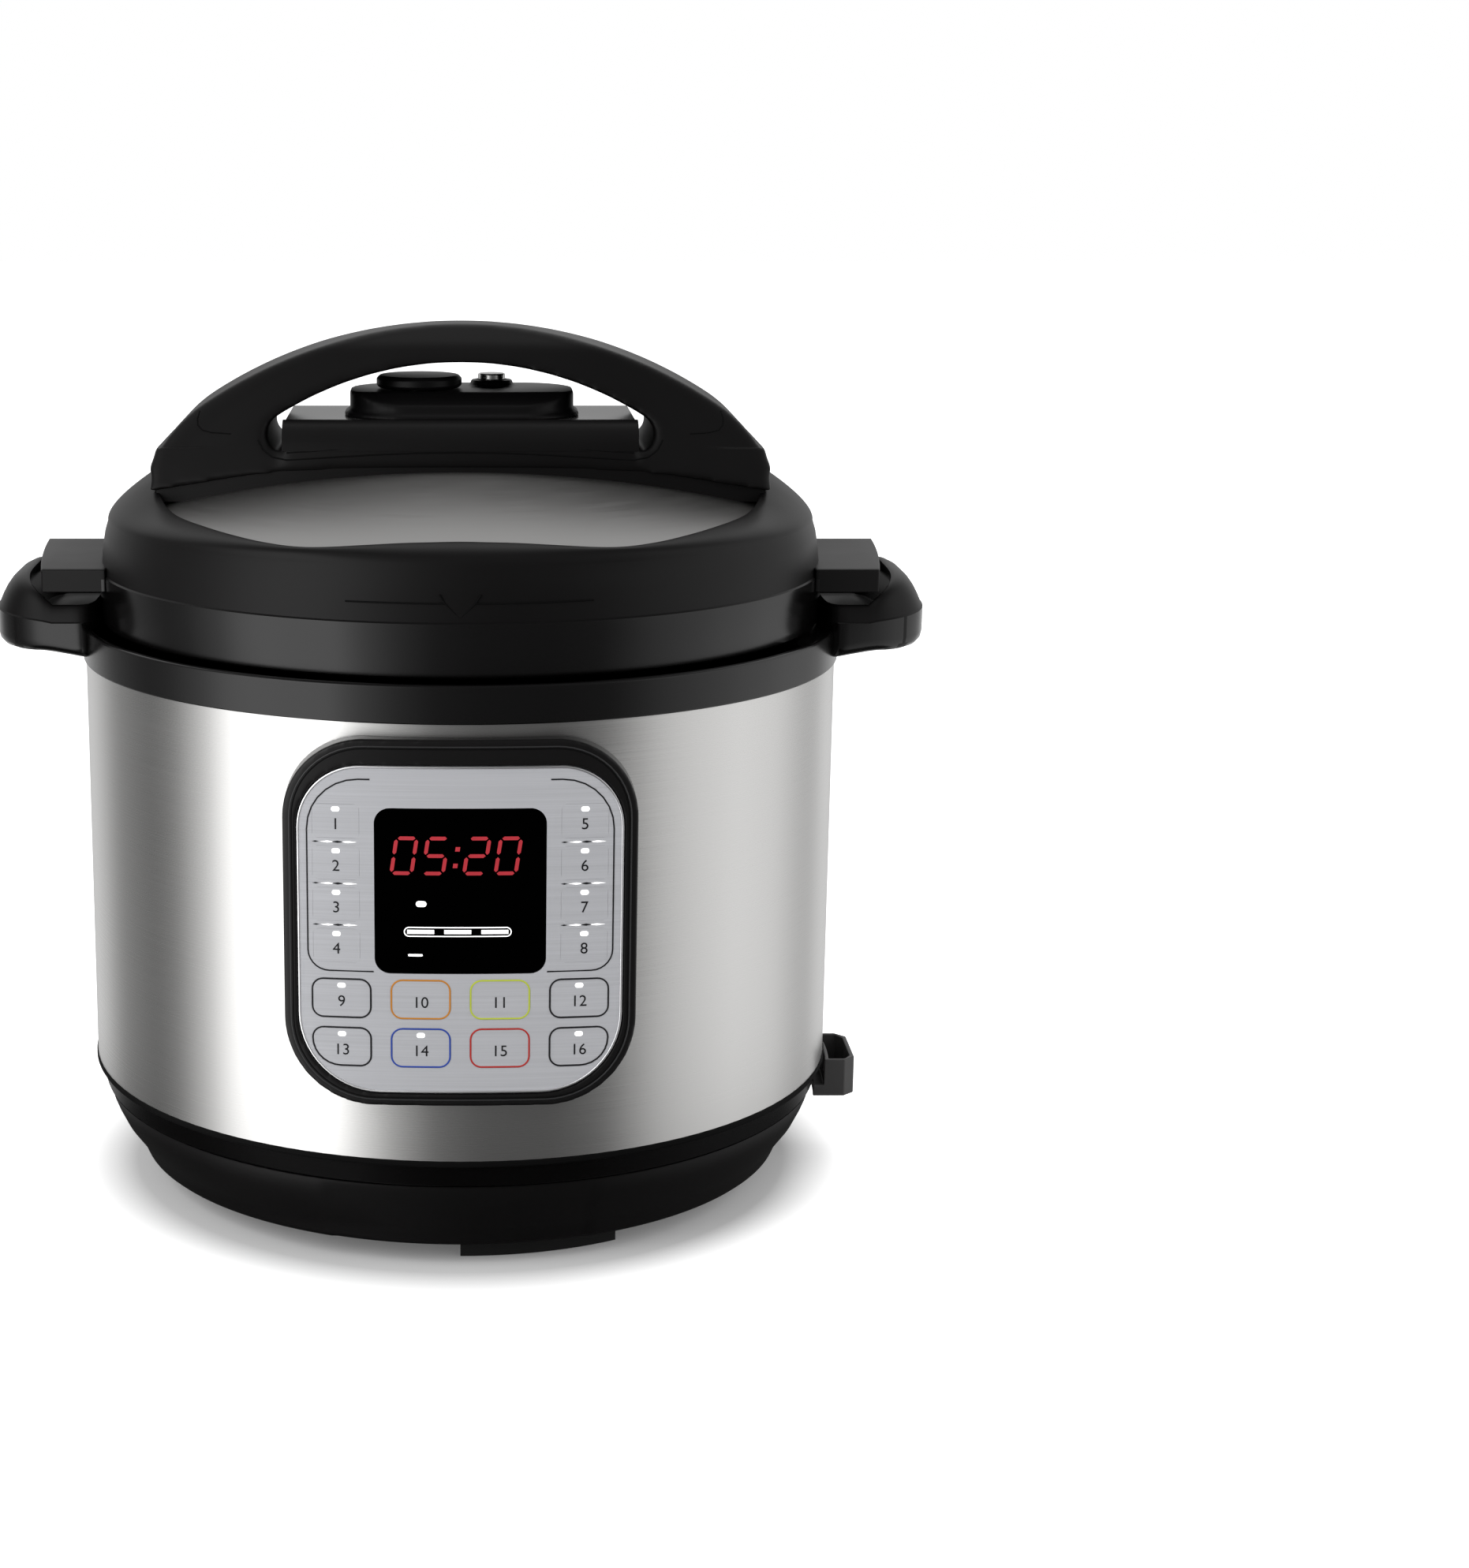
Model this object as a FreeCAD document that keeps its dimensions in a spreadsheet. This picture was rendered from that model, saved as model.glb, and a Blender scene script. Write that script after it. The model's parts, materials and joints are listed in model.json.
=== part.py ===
"""Electric pressure cooker: base with heater, inner pot, sealing ring and bayonet lid.

Millimetres. +Z is up, -Y is the front with the control panel, and the origin is on the surface
that the cooker stands on, under the middle of the pot.
"""
import FreeCAD, Part
import math
import os

import Sketcher

Vector = FreeCAD.Vector

# Driving dimensions, one cell each.
SIZES = [
    # shared
    ("overrun", 10.0),
    ("edge_round", 1.0),
    # feet and base housing
    ("foot_height", 6.0),
    ("foot_inner_radius", 101.0),
    ("foot_outer_radius", 110.0),
    ("foot_span", 30.0),
    ("foot_turn", 15.0),
    ("foot_count", 4),
    ("base_floor_radius", 112.0),
    ("base_kink_radius", 121.0),
    ("base_kink_rise", 7.0),
    ("base_taper_radius", 134.0),
    ("base_step_rise", 29.3),
    ("base_belly_radius", 16.0),
    ("band_radius", 137.4),
    ("band_height", 9.2),
    ("base_wall", 2.8),
    ("cover_thickness", 2.5),
    ("cover_radius", 108.5),
    ("cover_ledge", 8.0),
    ("vent_slot_length", 22.0),
    ("vent_slot_width", 3.0),
    ("vent_slot_radius", 66.0),
    ("vent_slot_count", 24),
    ("screw_circle", 104.0),
    ("screw_radius", 1.6),
    ("screw_head_radius", 3.5),
    ("screw_head_height", 2.0),
    ("screw_length", 12.0),
    ("boss_radius", 4.5),
    # steel body and top rim
    ("shell_radius", 138.0),
    ("shell_wall", 1.0),
    ("shell_height", 151.5),
    ("spigot_height", 7.5),
    ("rim_radius", 139.0),
    ("rim_height", 13.0),
    ("rim_lip", 2.6),
    ("rim_floor_rise", 4.0),
    ("rim_floor_thickness", 2.5),
    # heater, pots and bayonet
    ("inner_pot_radius", 110.5),
    ("inner_pot_wall", 1.0),
    ("inner_pot_floor", 1.2),
    ("inner_pot_corner", 8.0),
    ("inner_pot_height", 155.2),
    ("inner_pot_flange", 4.5),
    ("outer_pot_radius", 114.2),
    ("outer_pot_wall", 1.2),
    ("outer_pot_floor_hole", 66.0),
    ("outer_pot_depth", 176.0),
    ("flange_neck", 1.6),
    ("flange_foot", 6.6),
    ("flange_foot_thickness", 1.5),
    ("flange_height", 12.0),
    ("tooth_count", 6),
    ("tooth_depth", 6.0),
    ("tooth_thickness", 2.5),
    ("tooth_span", 28.0),
    ("heating_plate_radius", 98.0),
    ("heating_plate_thickness", 11.7),
    ("heating_leg_radius", 5.0),
    ("heating_leg_circle", 80.0),
    ("coil_ring_radius", 58.0),
    ("coil_tube_radius", 3.5),
    ("coil_span", 330.0),
    ("coil_terminal_radius", 2.1),
    ("coil_terminal_length", 16.0),
    ("sensor_radius", 17.5),
    ("sensor_cap_height", 3.5),
    ("sensor_stem_radius", 6.0),
    ("sensor_flange_width", 3.0),
    ("sensor_ledge", 2.0),
    ("sensor_wire", 0.6),
    ("sensor_spring_radius", 10.0),
    ("sensor_spring_wave", 1.6),
    ("sensor_spring_turns", 3),
    # electrics in the base
    ("board_thickness", 1.6),
    ("power_board_length", 86.0),
    ("power_board_width", 56.0),
    ("power_board_rise", 6.0),
    ("component_edge", 8.5),
    ("relay_length", 21.0),
    ("relay_width", 16.0),
    ("relay_height", 15.0),
    ("transformer_length", 26.0),
    ("transformer_width", 28.0),
    ("transformer_height", 20.0),
    ("capacitor_radius", 6.0),
    ("capacitor_side", 15.4),
    ("pressure_switch_length", 30.0),
    ("pressure_switch_width", 18.0),
    ("pressure_switch_height", 13.0),
    ("pressure_switch_offset", 6.0),
    ("fuse_length", 14.0),
    ("fuse_radius", 3.0),
    ("fuse_offset", 12.0),
    ("inlet_width", 29.0),
    ("inlet_height", 23.0),
    ("inlet_depth", 21.0),
    ("inlet_rise", 5.0),
    ("inlet_flange", 2.5),
    ("inlet_stand", 5.1),
    ("socket_width", 24.0),
    ("socket_height", 16.0),
    ("socket_depth", 16.0),
    ("pin_width", 4.0),
    ("pin_thickness", 2.0),
    ("pin_length", 15.0),
    ("pin_spacing", 7.0),
    ("pin_stagger", 2.0),
    # control panel
    ("panel_curve", 350.0),
    ("panel_stand", 4.5),
    ("bezel_width", 116.8),
    ("bezel_bottom", 66.8),
    ("bezel_top", 191.8),
    ("bezel_top_round", 27.0),
    ("bezel_bottom_round", 30.0),
    ("plate_width", 107.2),
    ("plate_bottom", 71.5),
    ("plate_top", 183.0),
    ("plate_top_round", 21.0),
    ("plate_bottom_round", 27.0),
    ("plate_thickness", 2.5),
    ("plate_recess", 0.3),
    ("plate_ledge", 1.8),
    ("ledge_thickness", 2.0),
    ("collar_wall", 1.6),
    ("collar_depth", 17.0),
    ("display_width", 56.0),
    ("display_bottom", 113.1),
    ("display_top", 168.8),
    ("display_round", 5.0),
    ("display_thickness", 1.8),
    ("panel_space_depth", 28.5),
    ("ledge_space_depth", 13.5),
    ("module_margin", 3.0),
    ("control_board_depth", 15.5),
    ("board_inset", 2.0),
    ("board_post_radius", 3.0),
    ("switch_width", 6.0),
    ("switch_height", 3.5),
    ("key_gap", 0.25),
    ("key_travel", 0.5),
    ("key_stem_radius", 2.2),
    ("key_stem_round", 2.0),
    ("key_width", 19.6),
    ("key_height", 13.4),
    ("key_round", 3.7),
    ("key_corner_round", 9.4),
    ("key_pitch", 26.2),
    ("key_upper_row", 104.0),
    ("key_lower_row", 87.2),
    ("side_key_width", 15.0),
    ("side_key_height", 11.0),
    ("side_key_round", 1.5),
    ("side_key_middle", 40.8),
    ("side_key_first", 122.1),
    ("side_key_pitch", 14.1),
    # side handles and condensation cup
    ("grip_reach", 31.0),
    ("grip_half_width", 40.0),
    ("grip_round", 28.0),
    ("grip_bottom", 199.0),
    ("grip_tip_bottom", 204.0),
    ("grip_tip_height", 9.0),
    ("grip_crown", 219.0),
    ("grip_root_depth", 14.0),
    ("grip_under_run", 20.0),
    ("grip_over_run", 16.0),
    ("grip_nose", 4.0),
    ("grip_nose_round", 3.0),
    ("grip_side_run", 12.0),
    ("grip_side_drop", 9.0),
    ("grip_side_round", 12.0),
    ("grip_hollow_round", 15.0),
    ("grip_hollow_wall", 4.0),
    ("grip_hollow_depth", 8.0),
    ("cup_reach", 11.3),
    ("cup_half_width", 16.0),
    ("cup_chamfer", 4.0),
    ("cup_bottom", 30.5),
    ("cup_height", 14.5),
    ("cup_wall", 1.6),
    ("cup_gap", 0.4),
    ("cup_pin_radius", 2.0),
    ("cup_pin_rise", 8.7),
    ("cup_pin_root", 2.0),
    ("cup_pin_offset", 8.0),
    ("cup_pin_length", 2.2),
    # lid plastics
    ("skirt_radius", 131.6),
    ("skirt_gap", 0.7),
    ("lid_radius", 132.2),
    ("lid_wall", 3.0),
    ("lid_equator", 237.0),
    ("lid_brow_radius", 130.6),
    ("lid_brow", 243.5),
    ("lid_brow_wall", 2.5),
    ("lid_brow_inset", 3.0),
    ("lid_edge_radius", 129.0),
    ("lid_edge", 247.6),
    ("lid_top_radius", 127.0),
    ("dome_top", 266.7),
    ("dome_curve", 480.0),
    ("dome_wall", 0.8),
    ("dome_radius", 126.2),
    ("dome_gap", 0.3),
    ("bridge_thickness", 1.1),
    ("bridge_half_width", 34.0),
    ("window_reach", 100.5),
    ("window_corner_reach", 53.5),
    ("window_corner_depth", 113.5),
    ("window_front_curve", 211.0),
    ("window_side_curve", 125.0),
    ("shoulder_inner_radius", 98.0),
    ("shoulder_root", 0.6),
    ("shoulder_brow_radius", 127.8),
    ("shoulder_brow", 249.4),
    ("shoulder_knee_radius", 121.3),
    ("shoulder_knee", 255.3),
    ("shoulder_top", 266.7),
    ("shoulder_half_width", 36.0),
    ("shoulder_foot_half_width", 46.0),
    ("ear_reach", 154.0),
    ("ear_half_width", 33.0),
    ("ear_top", 231.0),
    ("ear_thickness", 9.0),
    # lid handle
    ("handle_foot_reach", 110.6),
    ("handle_foot_z", 266.7),
    ("handle_shoulder_reach", 91.6),
    ("handle_shoulder_z", 289.7),
    ("handle_arch_curve", 168.0),
    ("handle_end_curve", 50.0),
    ("handle_toe_reach", 108.0),
    ("handle_toe_z", 262.0),
    ("handle_belly_curve", 1169.0),
    ("handle_foot_half_depth", 37.5),
    ("handle_top_half_depth", 18.5),
    ("handle_side_top", 309.0),
    ("handle_round", 5.0),
    ("handle_crown_half_depth", 9.0),
    ("handle_crown_z", 318.0),
    ("slot_reach", 66.0),
    ("slot_end_reach", 62.5),
    ("slot_bottom", 271.9),
    ("slot_top", 284.0),
    ("slot_top_curve", 125.0),
    ("slot_bottom_curve", 585.0),
    ("slot_end_curve", 6.6),
    ("seam_outer_z", 288.0),
    ("seam_reach", 96.0),
    ("seam_z", 275.0),
    ("seam_gap", 0.3),
    ("seam_slant", 2.0),
    ("tray_half_length", 63.0),
    ("tray_lip_half_depth", 35.5),
    ("tray_lip_z", 274.5),
    ("tray_crest_half_depth", 27.0),
    ("tray_z", 282.5),
    ("stud_reach", 88.0),
    ("stud_side", 18.0),
    ("stud_radius", 2.0),
    ("stud_head_radius", 4.5),
    ("stud_head_height", 2.3),
    ("stud_depth", 10.0),
    ("stud_boss_radius", 5.5),
    # valves
    ("platform_left", 40.0),
    ("platform_right", 41.0),
    ("platform_half_depth", 25.0),
    ("platform_brow_z", 287.7),
    ("platform_brow_depth", 10.0),
    ("platform_brow_round", 8.0),
    ("platform_round", 20.0),
    ("platform_top", 292.0),
    ("platform_step", 2.0),
    ("platform_step_height", 2.0),
    ("vent_x", -15.0),
    ("vent_pipe_radius", 4.0),
    ("vent_bore_radius", 2.0),
    ("vent_pipe_top", 285.0),
    ("vent_pipe_foot", 2.0),
    ("vent_nut_radius", 7.0),
    ("vent_well_radius", 8.3),
    ("vent_nut_height", 3.0),
    ("weight_radius", 6.5),
    ("weight_fit", 0.05),
    ("weight_height", 8.5),
    ("knob_radius", 15.5),
    ("knob_height", 4.6),
    ("knob_gap", 0.4),
    ("knob_chamfer", 1.2),
    ("knob_foot_chamfer", 1.0),
    ("valve_clearance", 0.5),
    ("float_x", 11.5),
    ("float_y", 12.0),
    ("float_disc_radius", 5.0),
    ("float_disc_height", 2.0),
    ("float_disc_top", 296.5),
    ("float_collar_width", 2.2),
    ("float_collar_height", 2.4),
    ("float_stem_radius", 2.5),
    ("float_cap_radius", 6.0),
    ("float_cap_height", 3.5),
    ("float_cap_drop", 0.9),
    ("float_round", 0.6),
    ("float_rise", 5.0),
    ("shield_radius", 9.5),
    ("shield_height", 8.0),
    ("shield_wall", 0.8),
    ("shield_slot_width", 2.0),
    ("shield_slot_pitch", 4.0),
    # inner lid and sealing ring
    ("pan_radius", 125.2),
    ("pan_wall", 1.2),
    ("pan_skirt_bottom", 207.0),
    ("pan_shoulder_z", 226.0),
    ("pan_shoulder_radius", 121.0),
    ("pan_flat_z", 230.2),
    ("pan_flat_radius", 100.0),
    ("pan_crown", 10.0),
    ("tab_depth", 7.0),
    ("tab_thickness", 1.8),
    ("tab_span", 26.0),
    ("seal_inner_radius", 104.0),
    ("seal_outer_radius", 116.5),
    ("seal_lip", 2.0),
    ("seal_wall", 4.5),
    ("seal_round", 1.2),
    ("seal_gap", 0.3),
    ("rack_radius", 101.0),
    ("rack_wire", 1.2),
    ("rack_post_radius", 0.9),
    ("rack_drop", 9.0),
]


class Dim:
    """A size with its number now and the sheet formula that gives it."""

    def __init__(self, value, formula):
        self.value = float(value)
        self.formula = formula

    def __add__(self, other):
        other = as_dim(other)
        return Dim(self.value + other.value, f"({self.formula} + {other.formula})")

    def __radd__(self, other):
        return as_dim(other) + self

    def __sub__(self, other):
        other = as_dim(other)
        return Dim(self.value - other.value, f"({self.formula} - {other.formula})")

    def __rsub__(self, other):
        return as_dim(other) - self

    def __mul__(self, other):
        other = as_dim(other)
        return Dim(self.value * other.value, f"({self.formula} * {other.formula})")

    def __rmul__(self, other):
        return as_dim(other) * self

    def __truediv__(self, other):
        other = as_dim(other)
        return Dim(self.value / other.value, f"({self.formula} / {other.formula})")

    def __rtruediv__(self, other):
        return as_dim(other) / self

    def __neg__(self):
        return Dim(-self.value, f"(0 - {self.formula})")


def as_dim(value):
    """A plain number as a Dim."""
    if isinstance(value, Dim):
        return value
    return Dim(value, repr(float(value)))


def root(value):
    return Dim(math.sqrt(value.value), f"sqrt({value.formula})")


def larger(first, second):
    first, second = as_dim(first), as_dim(second)
    return Dim(max(first.value, second.value), f"max({first.formula}; {second.formula})")


def smaller(first, second):
    first, second = as_dim(first), as_dim(second)
    return Dim(min(first.value, second.value), f"min({first.formula}; {second.formula})")


def sine(angle):
    angle = as_dim(angle)
    return Dim(math.sin(math.radians(angle.value)), f"sin({angle.formula})")


def cosine(angle):
    angle = as_dim(angle)
    return Dim(math.cos(math.radians(angle.value)), f"cos({angle.formula})")


doc = FreeCAD.newDocument("PressureCooker")
sheet = doc.addObject("Spreadsheet::Sheet", "Sizes")
size = {}
for row, (name, number) in enumerate(SIZES, start=1):
    sheet.set(f"A{row}", name)
    sheet.set(f"B{row}", str(number))
    sheet.setAlias(f"B{row}", name)
    size[name] = Dim(number, f"Sizes.{name}")
doc.recompute()

nodes = []


def node(item):
    """Lists an object as one of the cooker's sub-parts."""
    nodes.append(item)
    return item


def bind(item, **properties):
    """Ties an object's properties to the sheet."""
    for name, value in properties.items():
        item.setExpression(name, as_dim(value).formula)
    return item


def place(item, x=0, y=0, z=0, turn=None):
    """Ties an object's place, and its turn about +Z, to the sheet."""
    for axis, value in (("x", x), ("y", y), ("z", z)):
        item.setExpression(f"Placement.Base.{axis}", as_dim(value).formula)
    if turn is not None:
        item.Placement.Rotation = FreeCAD.Rotation(Vector(0, 0, 1), as_dim(turn).value)
        item.setExpression("Placement.Rotation.Angle", as_dim(turn).formula)
    return item


# ---------------------------------------------------------------------------- outlines
class Corner:
    """A corner of an outline, the radius that rounds it, and the arc that leaves it.

    A positive arc radius turns anticlockwise on the way to the next corner, a negative one
    clockwise.
    """

    def __init__(self, x, y, rounding=None, arc=None):
        self.x = as_dim(x)
        self.y = as_dim(y)
        self.rounding = rounding
        self.arc = arc

    def point(self):
        return Vector(self.x.value, self.y.value, 0)


def corners(*places):
    return [spot if isinstance(spot, Corner) else Corner(*spot) for spot in places]


def circle_arc(start, end, radius):
    """The arc of a circle from start to end, and whether the sketch stores it end first."""
    chord = end - start
    half = chord.Length / 2
    side = Vector(-chord.y, chord.x, 0).normalize()
    offset = math.sqrt(max(radius ** 2 - half ** 2, 0))
    centre = (start + end) / 2 + side * math.copysign(offset, radius)
    first, last = (start, end) if radius > 0 else (end, start)
    low = math.atan2(first.y - centre.y, first.x - centre.x)
    high = math.atan2(last.y - centre.y, last.x - centre.x)
    if high < low:
        high += 2 * math.pi
    circle = Part.Circle(centre, Vector(0, 0, 1), abs(radius))
    return Part.ArcOfCircle(circle, low, high), radius < 0


def rounding_points(before, corner, after):
    """Where a rounding leaves the two straight edges of its corner."""
    to_before = (before.point() - corner.point()).normalize()
    to_after = (after.point() - corner.point()).normalize()
    reach = as_dim(corner.rounding).value / math.tan(to_before.getAngle(to_after) / 2)
    return corner.point() + to_before * reach, corner.point() + to_after * reach


def draw(sketch, outline):
    """Draws a closed outline whose corners, roundings and arcs are tied to the sheet."""
    count = len(outline)
    starts = [corner.point() for corner in outline]
    ends = [outline[(k + 1) % count].point() for k in range(count)]
    for k, corner in enumerate(outline):
        if corner.rounding is not None:
            leave, arrive = rounding_points(outline[k - 1], corner, outline[(k + 1) % count])
            ends[k - 1] = leave
            starts[k] = arrive
    edges = []
    for k, corner in enumerate(outline):
        if corner.arc is None:
            curve, flipped = Part.LineSegment(starts[k], ends[k]), False
        else:
            curve, flipped = circle_arc(starts[k], ends[k], as_dim(corner.arc).value)
        edges.append((sketch.addGeometry(curve, False), 2 if flipped else 1, 1 if flipped else 2))
    rules = []
    formulas = []

    def rule(kind, *what, size_of=None):
        if size_of is not None:
            formulas.append((len(rules), size_of.formula))
            what = what + (size_of.value,)
        rules.append(Sketcher.Constraint(kind, *what))

    def pin(spot, geometry, end):
        for axis, other_axis, value in (("DistanceX", -2, spot.x), ("DistanceY", -1, spot.y)):
            if value.formula == "0.0":
                rule("PointOnObject", geometry, end, other_axis)
            else:
                rule(axis, -1, 1, geometry, end, size_of=value)

    for k, corner in enumerate(outline):
        edge, start, _ = edges[k]
        before, _, before_end = edges[k - 1]
        if corner.arc is not None:
            rule("Radius", edge, size_of=Dim(abs(as_dim(corner.arc).value),
                                             f"abs({as_dim(corner.arc).formula})"))
        if corner.rounding is None:
            rule("Coincident", before, before_end, edge, start)
            pin(corner, edge, start)
            continue
        turn = (ends[k] - starts[k]).cross(ends[k - 1] - starts[k - 1]).z
        radius = as_dim(corner.rounding)
        curve, flipped = circle_arc(ends[k - 1], starts[k], math.copysign(radius.value, -turn))
        fillet = sketch.addGeometry(curve, False)
        apex = sketch.addGeometry(Part.Point(corner.point()), True)
        rule("Tangent", before, before_end, fillet, 2 if flipped else 1)
        rule("Tangent", fillet, 1 if flipped else 2, edge, start)
        rule("Radius", fillet, size_of=radius)
        pin(corner, apex, 1)
        rule("PointOnObject", apex, 1, before)
        rule("PointOnObject", apex, 1, edge)
    sketch.addConstraint(rules)
    for index, formula in formulas:
        sketch.setExpression(f"Constraints[{index}]", formula)


def mirrored(half, closing=None):
    """A closed outline from its right half, whose first and last corner lie off the axis.

    The edge that closes it, from the last left corner to the first right one, may be an arc.
    """
    left = []
    for k in range(len(half) - 1, -1, -1):
        corner = half[k]
        arc = half[k - 1].arc if k > 0 else closing
        left.append(Corner(-corner.x, corner.y, corner.rounding, arc))
    return half + left


# ---------------------------------------------------------------------------- solids
def new_sketch(body, role, offset=None):
    """A sketch on one of a body's own origin planes, moved along the plane's normal."""
    sketch = body.newObject("Sketcher::SketchObject", body.Name + "_sketch")
    plane = next(item for item in body.Origin.OriginFeatures if item.Role == role)
    sketch.AttachmentSupport = (plane, "")
    sketch.MapMode = "FlatFace"
    if offset is not None:
        sketch.AttachmentOffset = FreeCAD.Placement(Vector(0, 0, as_dim(offset).value),
                                                    FreeCAD.Rotation())
        bind(sketch, **{"AttachmentOffset.Base.z": offset})
    return sketch


def turned(label, outline):
    """A body of revolution about Z from an outline in (radius, z)."""
    body = doc.addObject("PartDesign::Body", label)
    sketch = new_sketch(body, "XZ_Plane")
    draw(sketch, outline)
    revolution = body.newObject("PartDesign::Revolution", label + "_turn")
    revolution.Profile = sketch
    revolution.ReferenceAxis = (sketch, ["V_Axis"])
    revolution.Angle = 360.0
    return body


def hoop(label, inner, outer, low, high):
    """A plain ring about Z."""
    return turned(label, corners((inner, low), (outer, low), (outer, high), (inner, high)))


def prism(label, plane, outline, start, length):
    """An outline pushed along its plane's normal: -Y on XZ, +X on YZ and +Z on XY."""
    body = doc.addObject("PartDesign::Body", label)
    sketch = new_sketch(body, plane + "_Plane", start)
    draw(sketch, outline)
    pad = body.newObject("PartDesign::Pad", label + "_pad")
    pad.Profile = sketch
    bind(pad, Length=length)
    return body


def across(half):
    """Start and length of a prism that runs past both ends of a width."""
    return -(half + size["overrun"]), 2 * (half + size["overrun"])


def cylinder(label, radius, bottom, height, x=0, y=0):
    item = doc.addObject("Part::Cylinder", label)
    bind(item, Radius=radius, Height=height)
    return place(item, x, y, bottom)


def box(label, low, high):
    item = doc.addObject("Part::Box", label)
    sides = [as_dim(b) - as_dim(a) for a, b in zip(low, high)]
    bind(item, Length=sides[0], Width=sides[1], Height=sides[2])
    return place(item, *low)


def sector(label, inner, outer, bottom, height, middle, span):
    """A piece of a flat ring, span degrees wide about the direction middle."""
    pie = doc.addObject("Part::Cylinder", label + "_pie")
    bind(pie, Radius=outer, Height=height, Angle=span)
    place(pie, 0, 0, bottom, turn=as_dim(middle) - as_dim(span) / 2)
    return cut(label, pie, cylinder(label + "_core", inner, bottom, height))


def rounded_rectangle(x, z, width, height, rounding):
    """Corners of a rounded rectangle about its middle."""
    half, rise = width / 2, height / 2
    return corners((x - half, z - rise, rounding), (x + half, z - rise, rounding),
                   (x + half, z + rise, rounding), (x - half, z + rise, rounding))


def fuse(label, *items):
    item = doc.addObject("Part::MultiFuse", label)
    item.Shapes = list(items)
    return item


def cut(label, base, *tools):
    item = doc.addObject("Part::Cut", label)
    item.Base = base
    item.Tool = tools[0] if len(tools) == 1 else fuse(label + "_tools", *tools)
    return item


def common(label, first, second):
    item = doc.addObject("Part::Common", label)
    item.Base = first
    item.Tool = second
    return item


def group(label, items):
    """Separate like solids that share one sub-part."""
    item = doc.addObject("Part::Compound", label)
    item.Links = list(items)
    return item


def circle_spots(radius, count, first=0):
    """Places on a circle, evenly spaced from the direction first."""
    spots = []
    for k in range(count):
        angle = as_dim(first) + 360.0 * k / count
        spots.append((radius * cosine(angle), radius * sine(angle)))
    return spots


# ---------------------------------------------------------------------------- shared places
def s(name):
    return size[name]


base_bottom = s("foot_height")
kink_z = base_bottom + s("base_kink_rise")
step_z = base_bottom + s("base_step_rise")
band_top = step_z + s("band_height")
shell_top = band_top + s("shell_height")
shell_inner = s("shell_radius") - s("shell_wall")
rim_top = shell_top + s("rim_height")
rim_floor = shell_top + s("rim_floor_rise")
flange_top = rim_floor + s("flange_height")
outer_pot_bottom = flange_top - s("outer_pot_depth")
outer_pot_floor = outer_pot_bottom + s("outer_pot_wall")
pot_rim_top = flange_top + s("inner_pot_floor")
pot_bottom = pot_rim_top - s("inner_pot_height")
heater_top = pot_bottom - s("seal_gap")
heater_bottom = heater_top - s("heating_plate_thickness")
cover_top = base_bottom + s("cover_thickness")
body_outside = larger(s("shell_radius"), s("band_radius"))
tooth_tip = s("outer_pot_radius") + s("flange_neck") + s("tooth_depth")
front = s("shell_radius") + s("panel_stand")
panel_centre = s("panel_curve") - front
dome_centre = s("dome_top") - s("dome_curve")
under_bridge = s("dome_curve") + s("dome_gap")
over_bridge = under_bridge + s("bridge_thickness")
pan_underside = s("pan_flat_z") - s("pan_wall")
pan_crown_z = s("pan_flat_z") + s("pan_crown")


def on_sphere(radius, curve):
    """Height of a dome of this curve, about the dome's own centre, at a radius."""
    return dome_centre + root(curve * curve - radius * radius)


# ---------------------------------------------------------------------------- base
def base_housing():
    shell = turned("base_housing_shell", corners(
        Corner(s("base_floor_radius"), base_bottom, arc=s("base_belly_radius")),
        (s("base_kink_radius"), kink_z),
        (s("base_taper_radius"), step_z),
        (s("band_radius"), step_z),
        (s("band_radius"), band_top),
        (s("band_radius") - s("base_wall"), band_top),
        (s("band_radius") - s("base_wall"), step_z + s("base_wall")),
        (s("base_taper_radius") - s("base_wall"), step_z),
        (s("base_kink_radius") - s("base_wall"), kink_z + s("base_wall") / 2),
        (s("base_floor_radius"), cover_top + s("base_wall")),
        (s("cover_radius") - s("cover_ledge"), cover_top + s("base_wall")),
        (s("cover_radius") - s("cover_ledge"), cover_top),
        (s("cover_radius"), cover_top),
        (s("cover_radius"), base_bottom),
    ))
    seat = hoop("base_housing_seat", smaller(shell_inner, s("band_radius")) - s("base_wall"),
                larger(shell_inner, s("band_radius")), band_top - s("base_wall"), band_top)
    spigot = hoop("base_housing_spigot", shell_inner - s("base_wall"), shell_inner,
                  band_top - s("base_wall"), band_top + s("spigot_height"))
    pieces = [shell, seat, spigot]
    holes = []
    for k, (x, y) in enumerate(screw_spots()):
        pieces.append(cylinder(f"base_boss_{k}", s("boss_radius"), cover_top + s("base_wall"),
                               s("screw_length") - s("base_wall"), x, y))
        holes.append(cylinder(f"base_boss_hole_{k}", s("screw_radius"), cover_top,
                              s("screw_length") - s("cover_thickness"), x, y))
    for k, side in enumerate((-1, 1)):
        pieces.append(cup_pin(f"cup_pin_{k}", s("cup_pin_radius"), side, s("cup_pin_length")))
    half = s("inlet_width") / 2
    holes.append(box("inlet_hole",
                     (-half, s("base_floor_radius"), base_bottom + s("inlet_rise")),
                     (half, s("band_radius") + s("overrun"),
                      base_bottom + s("inlet_rise") + s("inlet_height"))))
    return cut("base_housing", fuse("base_housing_body", *pieces), *holes)


def screw_spots():
    """Places of the screws, midway between the feet."""
    return circle_spots(s("screw_circle"), int(s("foot_count").value),
                        first=s("foot_turn") + 180 / s("foot_count"))


def cup_pin(label, radius, side, length):
    """A pin that points along +X, out of the band by length, into the condensation cup's back."""
    pin = cylinder(label, radius, s("cup_bottom") + s("cup_pin_rise"), length + s("cup_pin_root"),
                   s("band_radius") - s("cup_pin_root"), side * s("cup_pin_offset"))
    pin.Placement.Rotation = FreeCAD.Rotation(Vector(0, 1, 0), 90)
    return pin


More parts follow.
